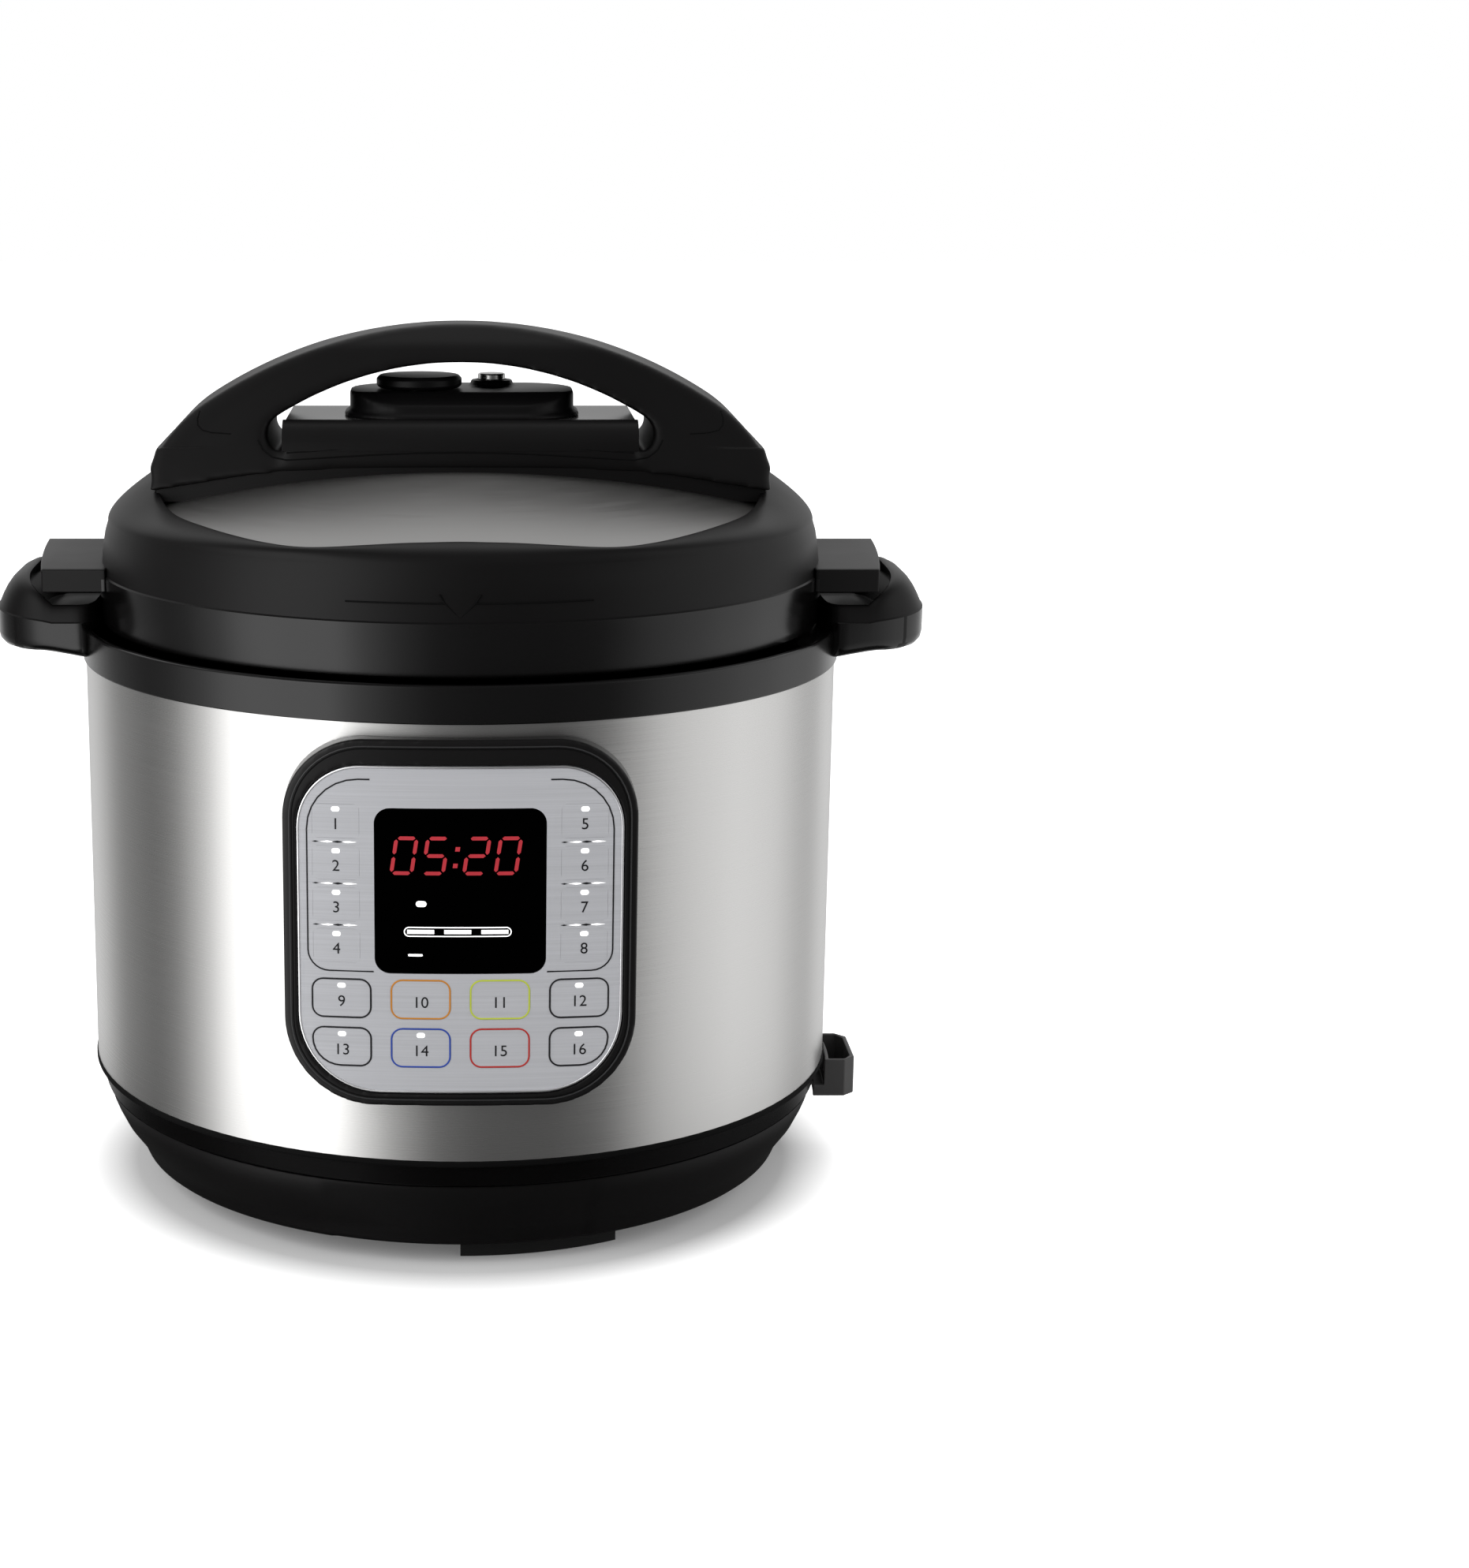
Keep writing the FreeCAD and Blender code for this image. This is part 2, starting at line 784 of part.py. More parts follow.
def bottom_cover():
    body = doc.addObject("PartDesign::Body", "bottom_cover_plate")
    disc = new_sketch(body, "XY_Plane", base_bottom)
    disc.addGeometry(Part.Circle(Vector(0, 0, 0), Vector(0, 0, 1), s("cover_radius").value))
    disc.addConstraint([Sketcher.Constraint("Coincident", 0, 3, -1, 1),
                        Sketcher.Constraint("Radius", 0, s("cover_radius").value)])
    disc.setExpression("Constraints[1]", s("cover_radius").formula)
    pad = body.newObject("PartDesign::Pad", "bottom_cover_disc")
    pad.Profile = disc
    bind(pad, Length=s("cover_thickness"))
    slot = new_sketch(body, "XY_Plane", base_bottom)
    draw(slot, rounded_rectangle(s("vent_slot_radius"), 0, s("vent_slot_length"),
                                 s("vent_slot_width"), s("vent_slot_width") * 0.45))
    vent = body.newObject("PartDesign::Pocket", "bottom_cover_vent")
    vent.Profile = slot
    vent.Type = "ThroughAll"
    vent.Reversed = True
    ring = body.newObject("PartDesign::PolarPattern", "bottom_cover_vents")
    ring.Originals = [vent]
    z_axis = next(item for item in body.Origin.OriginFeatures if item.Role == "Z_Axis")
    ring.Axis = (z_axis, [""])
    ring.Angle = 360
    bind(ring, Occurrences=s("vent_slot_count"))
    body.Tip = ring
    holes = [cylinder(f"cover_screw_hole_{k}", s("screw_radius"), base_bottom,
                      s("cover_thickness"), x, y)
             for k, (x, y) in enumerate(screw_spots())]
    posts = [cylinder(f"board_post_{k}", s("board_post_radius"), cover_top,
                      s("power_board_rise"), x, y)
             for k, (x, y) in enumerate(power_board_spots())]
    return cut("bottom_cover", fuse("bottom_cover_posts", body, *posts), *holes)


def rubber_feet():
    feet = [sector(f"foot_{k}", s("foot_inner_radius"), s("foot_outer_radius"), 0,
                   s("foot_height"), s("foot_turn") + 360 * k / s("foot_count"), s("foot_span"))
            for k in range(int(s("foot_count").value))]
    return group("rubber_feet", feet)


def base_screws():
    screws = []
    for k, (x, y) in enumerate(screw_spots()):
        head = cylinder(f"base_screw_head_{k}", s("screw_head_radius"),
                        base_bottom - s("screw_head_height"), s("screw_head_height"), x, y)
        shank = cylinder(f"base_screw_shank_{k}", s("screw_radius"), base_bottom,
                         s("screw_length"), x, y)
        screws.append(fuse(f"base_screw_{k}", head, shank))
    return group("base_screws", screws)


def body_shell():
    wall = turned("shell_tube", corners((s("shell_radius"), band_top),
                                        (s("shell_radius"), shell_top),
                                        (shell_inner, shell_top),
                                        (shell_inner, band_top)))
    opening = prism("shell_opening", "XZ", collar_outline(), 0, front)
    return cut("body_shell", wall, opening)


def top_rim():
    """The rim: a lip outside, a floor that reaches the liner, and a spigot into the steel body."""
    bore = s("outer_pot_radius") + s("valve_clearance")
    lip = s("rim_radius") - s("rim_lip")
    outside = turned("rim_lip_ring", corners(
        (lip, shell_top), (s("rim_radius"), shell_top), (s("rim_radius"), rim_top, s("edge_round")),
        (lip, rim_top)))
    floor = hoop("rim_floor_ring", bore, larger(lip, shell_inner),
                 rim_floor - s("rim_floor_thickness"), rim_floor)
    seat = hoop("rim_seat", smaller(shell_inner, s("rim_radius")) - s("base_wall"),
                larger(shell_inner, lip), shell_top, rim_floor)
    spigot = hoop("rim_spigot", shell_inner - s("base_wall"), shell_inner,
                  shell_top - s("spigot_height"), rim_floor)
    return fuse("top_rim", outside, floor, seat, spigot)


def outer_pot():
    outer = s("outer_pot_radius")
    inner = outer - s("outer_pot_wall")
    hole = s("outer_pot_floor_hole")
    return turned("outer_pot", corners((outer, outer_pot_bottom), (outer, flange_top),
                                       (inner, flange_top), (inner, outer_pot_floor),
                                       (hole, outer_pot_floor), (hole, outer_pot_bottom)))


def bayonet_flange():
    bore = s("outer_pot_radius")
    neck = bore + s("flange_neck")
    foot = bore + s("flange_foot")
    ring = turned("flange_ring", corners((bore, rim_floor), (foot, rim_floor),
                                         (foot, rim_floor + s("flange_foot_thickness")),
                                         (neck, rim_floor + s("flange_foot_thickness")),
                                         (neck, flange_top), (bore, flange_top)))
    teeth = [sector(f"tooth_{k}", bore, tooth_tip, flange_top - s("tooth_thickness"),
                    s("tooth_thickness"), tooth_direction(k), s("tooth_span"))
             for k in range(int(s("tooth_count").value))]
    return fuse("bayonet_flange", ring, *teeth)


def tooth_direction(k):
    return 30 + 360.0 * k / s("tooth_count")


def heating_plate():
    bore = s("sensor_radius") + s("valve_clearance")
    ledge = s("sensor_stem_radius") + s("valve_clearance")
    plate = turned("heating_disc", corners(
        (s("heating_plate_radius"), heater_bottom),
        (s("heating_plate_radius"), heater_top, s("edge_round")),
        (bore, heater_top), (bore, heater_bottom + s("sensor_ledge")),
        (ledge, heater_bottom + s("sensor_ledge")), (ledge, heater_bottom)))
    legs = [cylinder(f"heating_leg_{k}", s("heating_leg_radius"), outer_pot_floor,
                     heater_bottom - outer_pot_floor, x, y)
            for k, (x, y) in enumerate(circle_spots(s("heating_leg_circle"), 3, first=90))]
    return fuse("heating_plate", plate, *legs)


def heating_element():
    coil = doc.addObject("Part::Torus", "heating_loop")
    bind(coil, Radius1=s("coil_ring_radius"), Radius2=s("coil_tube_radius"),
         Angle3=s("coil_span"))
    centre = heater_bottom - s("coil_tube_radius")
    place(coil, 0, 0, centre)
    ends = []
    for k, angle in enumerate((0, s("coil_span"))):
        ends.append(cylinder(f"heating_terminal_{k}", s("coil_terminal_radius"),
                             centre - s("coil_terminal_length"), s("coil_terminal_length"),
                             s("coil_ring_radius") * cosine(angle),
                             s("coil_ring_radius") * sine(angle)))
    return fuse("heating_element", coil, *ends)


def temperature_sensor():
    cap_bottom = heater_top - s("sensor_cap_height")
    stem = s("sensor_stem_radius")
    flange = stem + s("sensor_flange_width")
    flange_z = heater_bottom - s("seal_gap")
    stem_bottom = flange_z - s("sensor_ledge")
    return turned("temperature_sensor", corners(
        (0, stem_bottom), (flange, stem_bottom), (flange, flange_z), (stem, flange_z),
        (stem, cap_bottom), (s("sensor_radius"), cap_bottom),
        (s("sensor_radius"), heater_top, s("edge_round")), (0, heater_top)))


def sensor_spring():
    """A wave spring between the plate's ledge and the sensor's cap."""
    low = heater_bottom + s("sensor_ledge")
    turns = int(s("sensor_spring_turns").value)
    wire, wave = s("sensor_wire"), s("sensor_spring_wave")
    step = (heater_top - s("sensor_cap_height") - low) / (2 * turns)
    inside = [Corner(s("sensor_spring_radius") - (wave if k % 2 else 0), low + step * k)
              for k in range(2 * turns + 1)]
    outside = [Corner(corner.x + wire, corner.y) for corner in reversed(inside)]
    return turned("sensor_spring", inside + outside)


# ---------------------------------------------------------------------------- electrics
def power_board_spots():
    reach = s("power_board_length") / 2 - 2 * s("board_post_radius")
    side = s("power_board_width") / 2 - 2 * s("board_post_radius")
    return [(reach, side), (-reach, side), (-reach, -side), (reach, -side)]


def power_board():
    bottom = cover_top + s("power_board_rise")
    top = bottom + s("board_thickness")
    reach, side = s("power_board_length") / 2, s("power_board_width") / 2
    board = box("power_board_sheet", (-reach, -side, bottom), (reach, side, top))
    edge = s("component_edge")
    relay = box("relay", (edge - reach, edge - side, top),
                (edge - reach + s("relay_length"), edge - side + s("relay_width"),
                 top + s("relay_height")))
    transformer = box("transformer",
                      (reach - edge - s("transformer_length"), edge - side, top),
                      (reach - edge, edge - side + s("transformer_width"),
                       top + s("transformer_height")))
    capacitor = cylinder("capacitor", s("capacitor_radius"), top, s("relay_height"), 0,
                         s("capacitor_side"))
    return fuse("power_board", board, relay, transformer, capacitor)


def pressure_switch():
    x = s("outer_pot_floor_hole") + s("pressure_switch_offset")
    half = s("pressure_switch_length") / 2
    return box("pressure_switch",
               (x, -half, outer_pot_bottom - s("pressure_switch_height")),
               (x + s("pressure_switch_width"), half, outer_pot_bottom))


def thermal_fuse():
    body = doc.addObject("Part::Cylinder", "thermal_fuse")
    bind(body, Radius=s("fuse_radius"), Height=s("fuse_length"))
    place(body, -s("outer_pot_floor_hole") - s("fuse_offset"), -s("fuse_length") / 2,
          outer_pot_bottom - s("fuse_radius"))
    body.Placement.Rotation = FreeCAD.Rotation(Vector(1, 0, 0), -90)
    return body


def inlet_frame():
    """Middle height, outer face and socket floor of the mains inlet."""
    middle = base_bottom + s("inlet_rise") + s("inlet_height") / 2
    face = s("band_radius") + s("inlet_stand")
    return middle, face, face - s("socket_depth")


def power_inlet():
    middle, face, floor = inlet_frame()
    half, rise = s("inlet_width") / 2, s("inlet_height") / 2
    block = box("inlet_block", (-half, face - s("inlet_depth"), middle - rise),
                (half, face, middle + rise))
    flange = box("inlet_flange_plate",
                 (-half - s("inlet_flange"), s("band_radius") - s("inlet_flange"), middle - rise),
                 (half + s("inlet_flange"), face, middle + rise + s("inlet_flange")))
    side, lift = s("socket_width") / 2, s("socket_height") / 2
    socket = box("inlet_socket", (-side, floor, middle - lift), (side, face, middle + lift))
    slots = [pin_block(f"inlet_pin_slot_{k}", k, face - s("inlet_depth"), floor)
             for k in (-1, 0, 1)]
    clear = turned("inlet_clearance", corners(
        (0, base_bottom), (s("base_floor_radius"), base_bottom), (s("base_kink_radius"), kink_z),
        (s("base_taper_radius"), step_z), (s("band_radius"), step_z), (s("band_radius"), band_top),
        (0, band_top)))
    outside = cut("inlet_flange_outside", flange, clear)
    return cut("power_inlet", fuse("inlet_body", block, outside), socket, *slots)


def pin_block(label, k, start, end):
    """The volume of one contact pin: the middle one, for earth, sits higher than the others."""
    middle = inlet_frame()[0]
    x = k * s("pin_spacing")
    z = middle + s("pin_stagger") * (1 if k == 0 else -1)
    return box(label, (x - s("pin_thickness") / 2, start, z - s("pin_width") / 2),
               (x + s("pin_thickness") / 2, end, z + s("pin_width") / 2))


def inlet_pins():
    face = inlet_frame()[1]
    start = face - s("inlet_depth")
    return group("inlet_pins", [pin_block(f"inlet_pin_{k}", k, start, start + s("pin_length"))
                                for k in (-1, 0, 1)])


# ---------------------------------------------------------------------------- control panel
def panel_outline(width, bottom, top, bottom_round, top_round, grow=0):
    """A rounded panel outline, grown outwards by grow."""
    half = width / 2 + grow
    return corners((-half, bottom - grow, bottom_round + grow),
                   (half, bottom - grow, bottom_round + grow),
                   (half, top + grow, top_round + grow),
                   (-half, top + grow, top_round + grow))


def plate_outline(grow=0):
    return panel_outline(s("plate_width"), s("plate_bottom"), s("plate_top"),
                         s("plate_bottom_round"), s("plate_top_round"), grow)


def collar_outline():
    return plate_outline(s("collar_wall") + s("key_gap"))


def behind_panel(label, recess):
    """Everything behind a face that follows the panel's gentle curve, recess behind its front."""
    low, high = s("bezel_bottom") - s("overrun"), s("bezel_top") + s("overrun")
    return cylinder(label, s("panel_curve") - recess, low, high - low, 0, panel_centre)


def panel_skin(label, recess, thickness):
    """The space between two faces that follow the panel's gentle curve."""
    return cut(label, behind_panel(label + "_outer", recess),
               behind_panel(label + "_inner", recess + thickness))


def panel_block(label, outline):
    """An outline pushed through the whole depth of the panel."""
    return prism(label, "XZ", outline, front - s("panel_space_depth"),
                 s("panel_space_depth") + s("overrun"))


def panel_frame():
    """The raised bezel, a collar through the body shell, and a ledge behind the plate."""
    curve = behind_panel("bezel_curve", 0)
    bezel = panel_block("bezel_block", panel_outline(s("bezel_width"), s("bezel_bottom"),
                                                     s("bezel_top"), s("bezel_bottom_round"),
                                                     s("bezel_top_round")))
    low = s("bezel_bottom") - s("overrun")
    body = cylinder("bezel_shell_space", s("shell_radius"), low,
                    s("bezel_top") + s("overrun") - low)
    face = cut("bezel_face", common("bezel_curved", bezel, curve), body)
    collar = common("bezel_collar", prism("collar_block", "XZ", collar_outline(),
                                          front - s("collar_depth"), s("collar_depth")), curve)
    recess = panel_block("plate_recess_space", plate_outline(s("key_gap")))
    ring = cut("panel_ring", fuse("bezel_body", face, collar), recess)
    plate_back = s("plate_recess") + s("plate_thickness")
    ledge_zone = common("ledge_zone", prism("ledge_block", "XZ", plate_outline(s("collar_wall")),
                                            front - s("ledge_space_depth"),
                                            s("ledge_space_depth")),
                        behind_panel("ledge_front", plate_back))
    window = panel_block("ledge_window", plate_outline(-s("plate_ledge")))
    zone_back = behind_panel("ledge_back", plate_back + s("ledge_thickness"))
    return fuse("panel_frame", ring, cut("panel_ledge", ledge_zone, window, zone_back))


def side_key_heights():
    return [s("side_key_first") + s("side_key_pitch") * k for k in range(4)]


def key_places():
    """Middle and outline size of each key: left column, right column, then the lower rows.

    The last two values round its corners, and the corner in the panel's own lower corner.
    """
    places = []
    for side in (-1, 1):
        for z in side_key_heights():
            places.append((side * s("side_key_middle"), z, s("side_key_width"),
                           s("side_key_height"), s("side_key_round"), s("side_key_round")))
    for z, corner in ((s("key_upper_row"), s("key_round")),
                      (s("key_lower_row"), s("key_corner_round"))):
        for column in (-1.5, -0.5, 0.5, 1.5):
            outer = corner if abs(column) > 1 else s("key_round")
            places.append((column * s("key_pitch"), z, s("key_width"), s("key_height"),
                           s("key_round"), outer))
    return places


def key_outline(spot, grow=0):
    """A key's outline, grown outwards by grow."""
    x, z, width, height, rounding, corner = spot
    outline = rounded_rectangle(x, z, width + 2 * as_dim(grow), height + 2 * as_dim(grow),
                                rounding + grow)
    outline[0 if x.value < 0 else 1].rounding = corner + grow
    return outline


def control_panel(plate_skin):
    """The silver plate with holes for the display and the keys, and posts for its board."""
    blank = panel_block("plate_blank", plate_outline())
    holes = [panel_block("display_hole", display_outline(s("key_gap")))]
    for k, spot in enumerate(key_places()):
        holes.append(panel_block(f"key_hole_{k + 1:02d}", key_outline(spot, s("key_gap"))))
    plate = cut("plate_face", common("plate_curved", blank, plate_skin), *holes)
    side = 2 * s("board_post_radius")
    posts = [prism(f"plate_post_{k}", "XZ", rounded_rectangle(x, z, side, side, s("edge_round")),
                   front - s("control_board_depth"), s("control_board_depth"))
             for k, (x, z) in enumerate(board_post_spots())]
    inside = behind_panel("plate_inside", s("plate_recess") + s("plate_thickness") / 2)
    trimmed = common("plate_posts", fuse("plate_post_set", *posts), inside)
    return fuse("control_panel", plate, trimmed)


def board_post_spots():
    """Places of the posts, between the columns of keys and clear of the ledge."""
    x = s("key_pitch")
    inset = s("plate_ledge") + s("board_post_radius") + s("edge_round")
    low, high = s("plate_bottom") + inset, s("plate_top") - inset
    return [(-x, low), (x, low), (x, high), (-x, high)]


def display_outline(grow=0):
    return panel_outline(s("display_width"), s("display_bottom"), s("display_top"),
                         s("display_round"), s("display_round"), grow)


def display_window():
    skin = panel_skin("window_skin", s("plate_recess"), s("display_thickness"))
    return common("display_window", panel_block("window_block", display_outline()), skin)


def board_face():
    """Front face of the control board, as a distance in front of the axis."""
    return front - s("control_board_depth")


def display_module():
    half = s("display_width") / 2 - s("module_margin")
    sagitta = s("panel_curve") - root(s("panel_curve") * s("panel_curve") - half * half)
    face = front - sagitta - s("plate_recess") - s("display_thickness") - s("seal_gap")
    return box("display_module",
               (-half, -face, s("display_bottom") + s("module_margin")),
               (half, -board_face(), s("display_top") - s("module_margin")))


def control_board():
    return prism("control_board", "XZ", plate_outline(-s("board_inset")),
                 board_face() - s("board_thickness"), s("board_thickness"))


def key_switches():
    switches = []
    for k, (x, z, *_) in enumerate(key_places()):
        half = s("switch_width") / 2
        switches.append(box(f"key_switch_{k + 1:02d}",
                            (x - half, -board_face() - s("switch_height"), z - half),
                            (x + half, -board_face(), z + half)))
    return group("key_switches", switches)


def key(k, spot, plate_skin):
    """A key cap that follows the panel's curve, with a stem that ends just off its switch."""
    x, z = spot[:2]
    name = f"key_{k:02d}"
    cap = common(name + "_cap", panel_block(name + "_block", key_outline(spot)), plate_skin)
    stem_start = board_face() + s("switch_height") + s("key_travel") + s("key_gap")
    stem_size = 2 * s("key_stem_radius")
    stem = prism(name + "_stem", "XZ",
                 rounded_rectangle(x, z, stem_size, stem_size, s("key_stem_round")),
                 stem_start, front - stem_start)
    inside = behind_panel(name + "_inside", s("plate_recess") + s("plate_thickness") / 2)
    return fuse(name, cap, common(name + "_trimmed_stem", stem, inside))


# ---------------------------------------------------------------------------- handles and cup
def side_handle(label, side):
    """A carrying handle on the rim, hollow from below for the fingers."""
    reach = s("rim_radius") + s("grip_reach")
    half, wall = s("grip_half_width"), s("grip_hollow_wall")
    root = s("rim_radius") - s("grip_root_depth")
    low, tip, crown = s("grip_bottom"), s("grip_tip_bottom"), s("grip_crown")
    top = tip + s("grip_tip_height")
    nose, nose_round = s("grip_nose"), s("grip_nose_round")
    full = (low - s("overrun"), crown - low + 2 * s("overrun"))
    plan = prism(label + "_plan", "XY", corners(
        (side * root, -side * half), (side * reach, -side * half, s("grip_round")),
        (side * reach, side * half, s("grip_round")), (side * root, side * half)), *full)
    face = prism(label + "_face", "XZ", corners(
        (side * root, low), (side * (reach - s("grip_under_run")), low),
        (side * (reach - nose), tip, nose_round), (side * reach, tip + nose, nose_round / 2),
        (side * reach, top - nose / 2, nose_round / 2),
        (side * (reach - nose), top + nose / 2, nose_round),
        (side * (reach - s("grip_over_run")), crown), (side * root, crown)), *across(half))
    edge = half + s("grip_nose")
    run = half - s("grip_side_run")
    profile = prism(label + "_profile", "YZ", corners(
        (-edge, low - s("edge_round")), (edge, low - s("edge_round")),
        (edge, crown - s("grip_side_drop")), (run, crown, s("grip_side_round")),
        (-run, crown, s("grip_side_round")), (-edge, crown - s("grip_side_drop"))),
        -reach if side < 0 else root, reach - root)
    solid = common(label + "_solid", common(label + "_front", plan, face), profile)
    rim = cylinder(label + "_rim", s("rim_radius"), *full)
    inner, outer = s("rim_radius") + wall, reach - wall * 1.5
    span = half - 2 * wall
    hollow = prism(label + "_hollow", "XY", corners(
        (side * inner, -side * span, nose_round),
        (side * outer, -side * span, s("grip_hollow_round")),
        (side * outer, side * span, s("grip_hollow_round")),
        (side * inner, side * span, nose_round)),
        low - s("overrun"), s("grip_hollow_depth") + s("overrun"))
    return cut(label, solid, rim, hollow)


def condensation_cup():
    reach, half = body_outside + s("cup_reach"), s("cup_half_width")
    chamfer, wall = s("cup_chamfer"), s("cup_wall")
    inner = s("base_taper_radius") - s("overrun")
    tall = s("cup_height") + 2 * s("overrun")

    def plan(label, inset, bottom, height):
        return prism(label, "XY", corners(
            (inner, -half + inset), (reach - chamfer, -half + inset),
            (reach - inset, -half + inset + chamfer), (reach - inset, half - inset - chamfer),
            (reach - chamfer, half - inset), (inner, half - inset)), bottom, height)

    outside = plan("cup_outside", 0, s("cup_bottom"), s("cup_height"))
    inside = plan("cup_inside", wall, s("cup_bottom") + wall, s("cup_height"))
    band = cylinder("cup_band", body_outside + s("cup_gap"), step_z - s("cup_gap"), tall)
    taper = cylinder("cup_taper", s("base_taper_radius") + s("cup_gap"),
                     s("cup_bottom") - s("overrun"), tall)
    back = cylinder("cup_back", body_outside + s("cup_gap") + wall, s("cup_bottom"), tall)
    pocket = cut("cup_pocket", inside, back)
    holes = [cup_pin(f"cup_pin_hole_{k}", s("cup_pin_radius") + s("cup_gap"), side,
                     s("cup_pin_length") + s("edge_round"))
             for k, side in enumerate((-1, 1))]
    return cut("condensation_cup", outside, band, taper, pocket, *holes)


# ---------------------------------------------------------------------------- pot and seal
def inner_pot():
    outer = s("inner_pot_radius")
    inner = outer - s("inner_pot_wall")
    flange = outer + s("inner_pot_flange")
    floor = pot_bottom + s("inner_pot_floor")
    return turned("inner_pot", corners(
        (0, pot_bottom), (outer, pot_bottom, s("inner_pot_corner")), (outer, flange_top),
        (flange, flange_top), (flange, pot_rim_top), (inner, pot_rim_top),
        (inner, floor, s("inner_pot_corner") - s("inner_pot_wall")), (0, floor)))


def sealing_ring():
    """A silicone ring, open towards the middle so that steam presses its lips apart."""
    low = pot_rim_top + s("seal_gap")
    high = pan_underside - s("seal_gap")
    web = s("seal_outer_radius") - s("seal_wall")
    return turned("sealing_ring", corners(
        (s("seal_inner_radius"), low), (s("seal_outer_radius"), low, s("seal_round")),
        (s("seal_outer_radius"), high, s("seal_round")), (s("seal_inner_radius"), high),
        (s("seal_inner_radius"), high - s("seal_lip")), (web, high - 2 * s("seal_lip")),
        (web, low + 2 * s("seal_lip")), (s("seal_inner_radius"), low + s("seal_lip"))))


# ---------------------------------------------------------------------------- lid
def inner_lid():
    """The pressed steel lid that carries the pressure, with tabs under the flange's teeth."""
    outer, wall = s("pan_radius"), s("pan_wall")
    flat, shoulder = s("pan_flat_radius"), s("pan_shoulder_radius")
    crown = s("pan_crown")
    dish = (flat * flat + crown * crown) / (2 * crown)
    pan = turned("pressure_pan", corners(
        (outer, s("pan_skirt_bottom")), (outer, s("pan_shoulder_z")), (shoulder, s("pan_flat_z")),
        Corner(flat, s("pan_flat_z"), arc=dish), (0, pan_crown_z),
        Corner(0, pan_crown_z - wall, arc=-dish), (flat, pan_underside),
        (shoulder - wall / 2, pan_underside), (outer - wall, s("pan_shoulder_z") - wall / 2),
        (outer - wall, s("pan_skirt_bottom"))))
    tabs = [sector(f"tab_{k}", outer - s("tab_depth") - wall, outer, s("pan_skirt_bottom"),
                   s("tab_thickness"), tooth_direction(k), s("tab_span"))
            for k in range(int(s("tooth_count").value))]
    low = s("pan_skirt_bottom")
    tall = pan_crown_z + s("overrun") - low
    bores = [cylinder("pan_vent_bore", s("vent_pipe_radius"), low, tall, s("vent_x")),
             cylinder("pan_float_bore", s("float_stem_radius") + s("valve_clearance"), low, tall,
                      s("float_x"), s("float_y"))]
    bores += [cylinder(f"pan_stud_bore_{k}", s("stud_radius"), low, tall, x, y)
              for k, (x, y) in enumerate(stud_spots())]
    return cut("inner_lid", fuse("pan_with_tabs", pan, *tabs), *bores)


def stud_spots():
    x, y = s("stud_reach"), s("stud_side")
    return [(x, y), (-x, y), (-x, -y), (x, -y)]


def top_of_pan(radius):
    """Height of the inner lid's upper face at a radius."""
    flat, crown = s("pan_flat_radius"), s("pan_crown")
    dish = (flat * flat + crown * crown) / (2 * crown)
    return pan_crown_z - dish + root(dish * dish - radius * radius)


def stud_circle():
    return root(s("stud_reach") * s("stud_reach") + s("stud_side") * s("stud_side"))


def lid_screws():
    screws = []
    under = top_of_pan(stud_circle() + s("stud_head_radius")) - s("pan_wall")
    for k, (x, y) in enumerate(stud_spots()):
        head = cylinder(f"lid_screw_head_{k}", s("stud_head_radius"),
                        under - s("stud_head_height"), s("stud_head_height"), x, y)
        shank = cylinder(f"lid_screw_shank_{k}", s("stud_radius"), under,
                         s("handle_toe_z") + s("stud_depth") - under, x, y)
        screws.append(fuse(f"lid_screw_{k}", head, shank))
    return group("lid_screws", screws)


def ring_rack():
    ring = doc.addObject("Part::Torus", "rack_hoop")
    bind(ring, Radius1=s("rack_radius"), Radius2=s("rack_wire"))
    hoop_z = pan_underside - s("rack_drop")
    place(ring, 0, 0, hoop_z)
    posts = [cylinder(f"rack_post_{k}", s("rack_post_radius"), hoop_z, s("rack_drop"), x, y)
             for k, (x, y) in enumerate(circle_spots(s("rack_radius"), 6, first=30))]
    return fuse("ring_rack", ring, *posts)


def lid_dome():
    curve, wall = s("dome_curve"), s("dome_wall")
    edge = s("dome_radius")
    rim = on_sphere(edge, curve)
    cover = turned("dome_cover", corners(
        Corner(edge, rim, arc=curve), Corner(0, s("dome_top")),
        Corner(0, s("dome_top") - wall, arc=-(curve - wall)),
        (edge, on_sphere(edge, curve - wall))))
    return cut("lid_dome", cover, *lid_bores("dome"))


def valve_bores(name, vent_radius):
    """Bores through one of the lid's layers for the vent and the float."""
    low = s("pan_flat_z")
    tall = s("handle_crown_z") - low
    return [cylinder(name + "_vent_bore", vent_radius, low, tall, s("vent_x")),
            cylinder(name + "_float_bore", s("float_disc_radius") + s("valve_clearance"), low,
                     tall, s("float_x"), s("float_y"))]


def lid_bores(name):
    """Bores through a cover of the lid for the vent, the float and the four screw bosses."""
    low = s("pan_flat_z")
    tall = s("handle_crown_z") - low
    bosses = [cylinder(f"{name}_boss_bore_{k}", s("stud_boss_radius") + s("dome_gap"), low, tall,
                       x, y)
              for k, (x, y) in enumerate(stud_spots())]
    return valve_bores(name, s("vent_well_radius")) + bosses


def window_outline(side):
    """Outline of the opening that shows the steel dome, in front (-1) or behind (+1)."""
    reach, corner = side * s("window_reach"), side * s("window_corner_reach")
    near, far = side * s("bridge_half_width"), side * s("window_corner_depth")
    side_curve = -s("window_side_curve")
    return [Corner(reach, near), Corner(-reach, near, arc=side_curve),
            Corner(-corner, far, arc=-s("window_front_curve")),
            Corner(corner, far, arc=side_curve)]


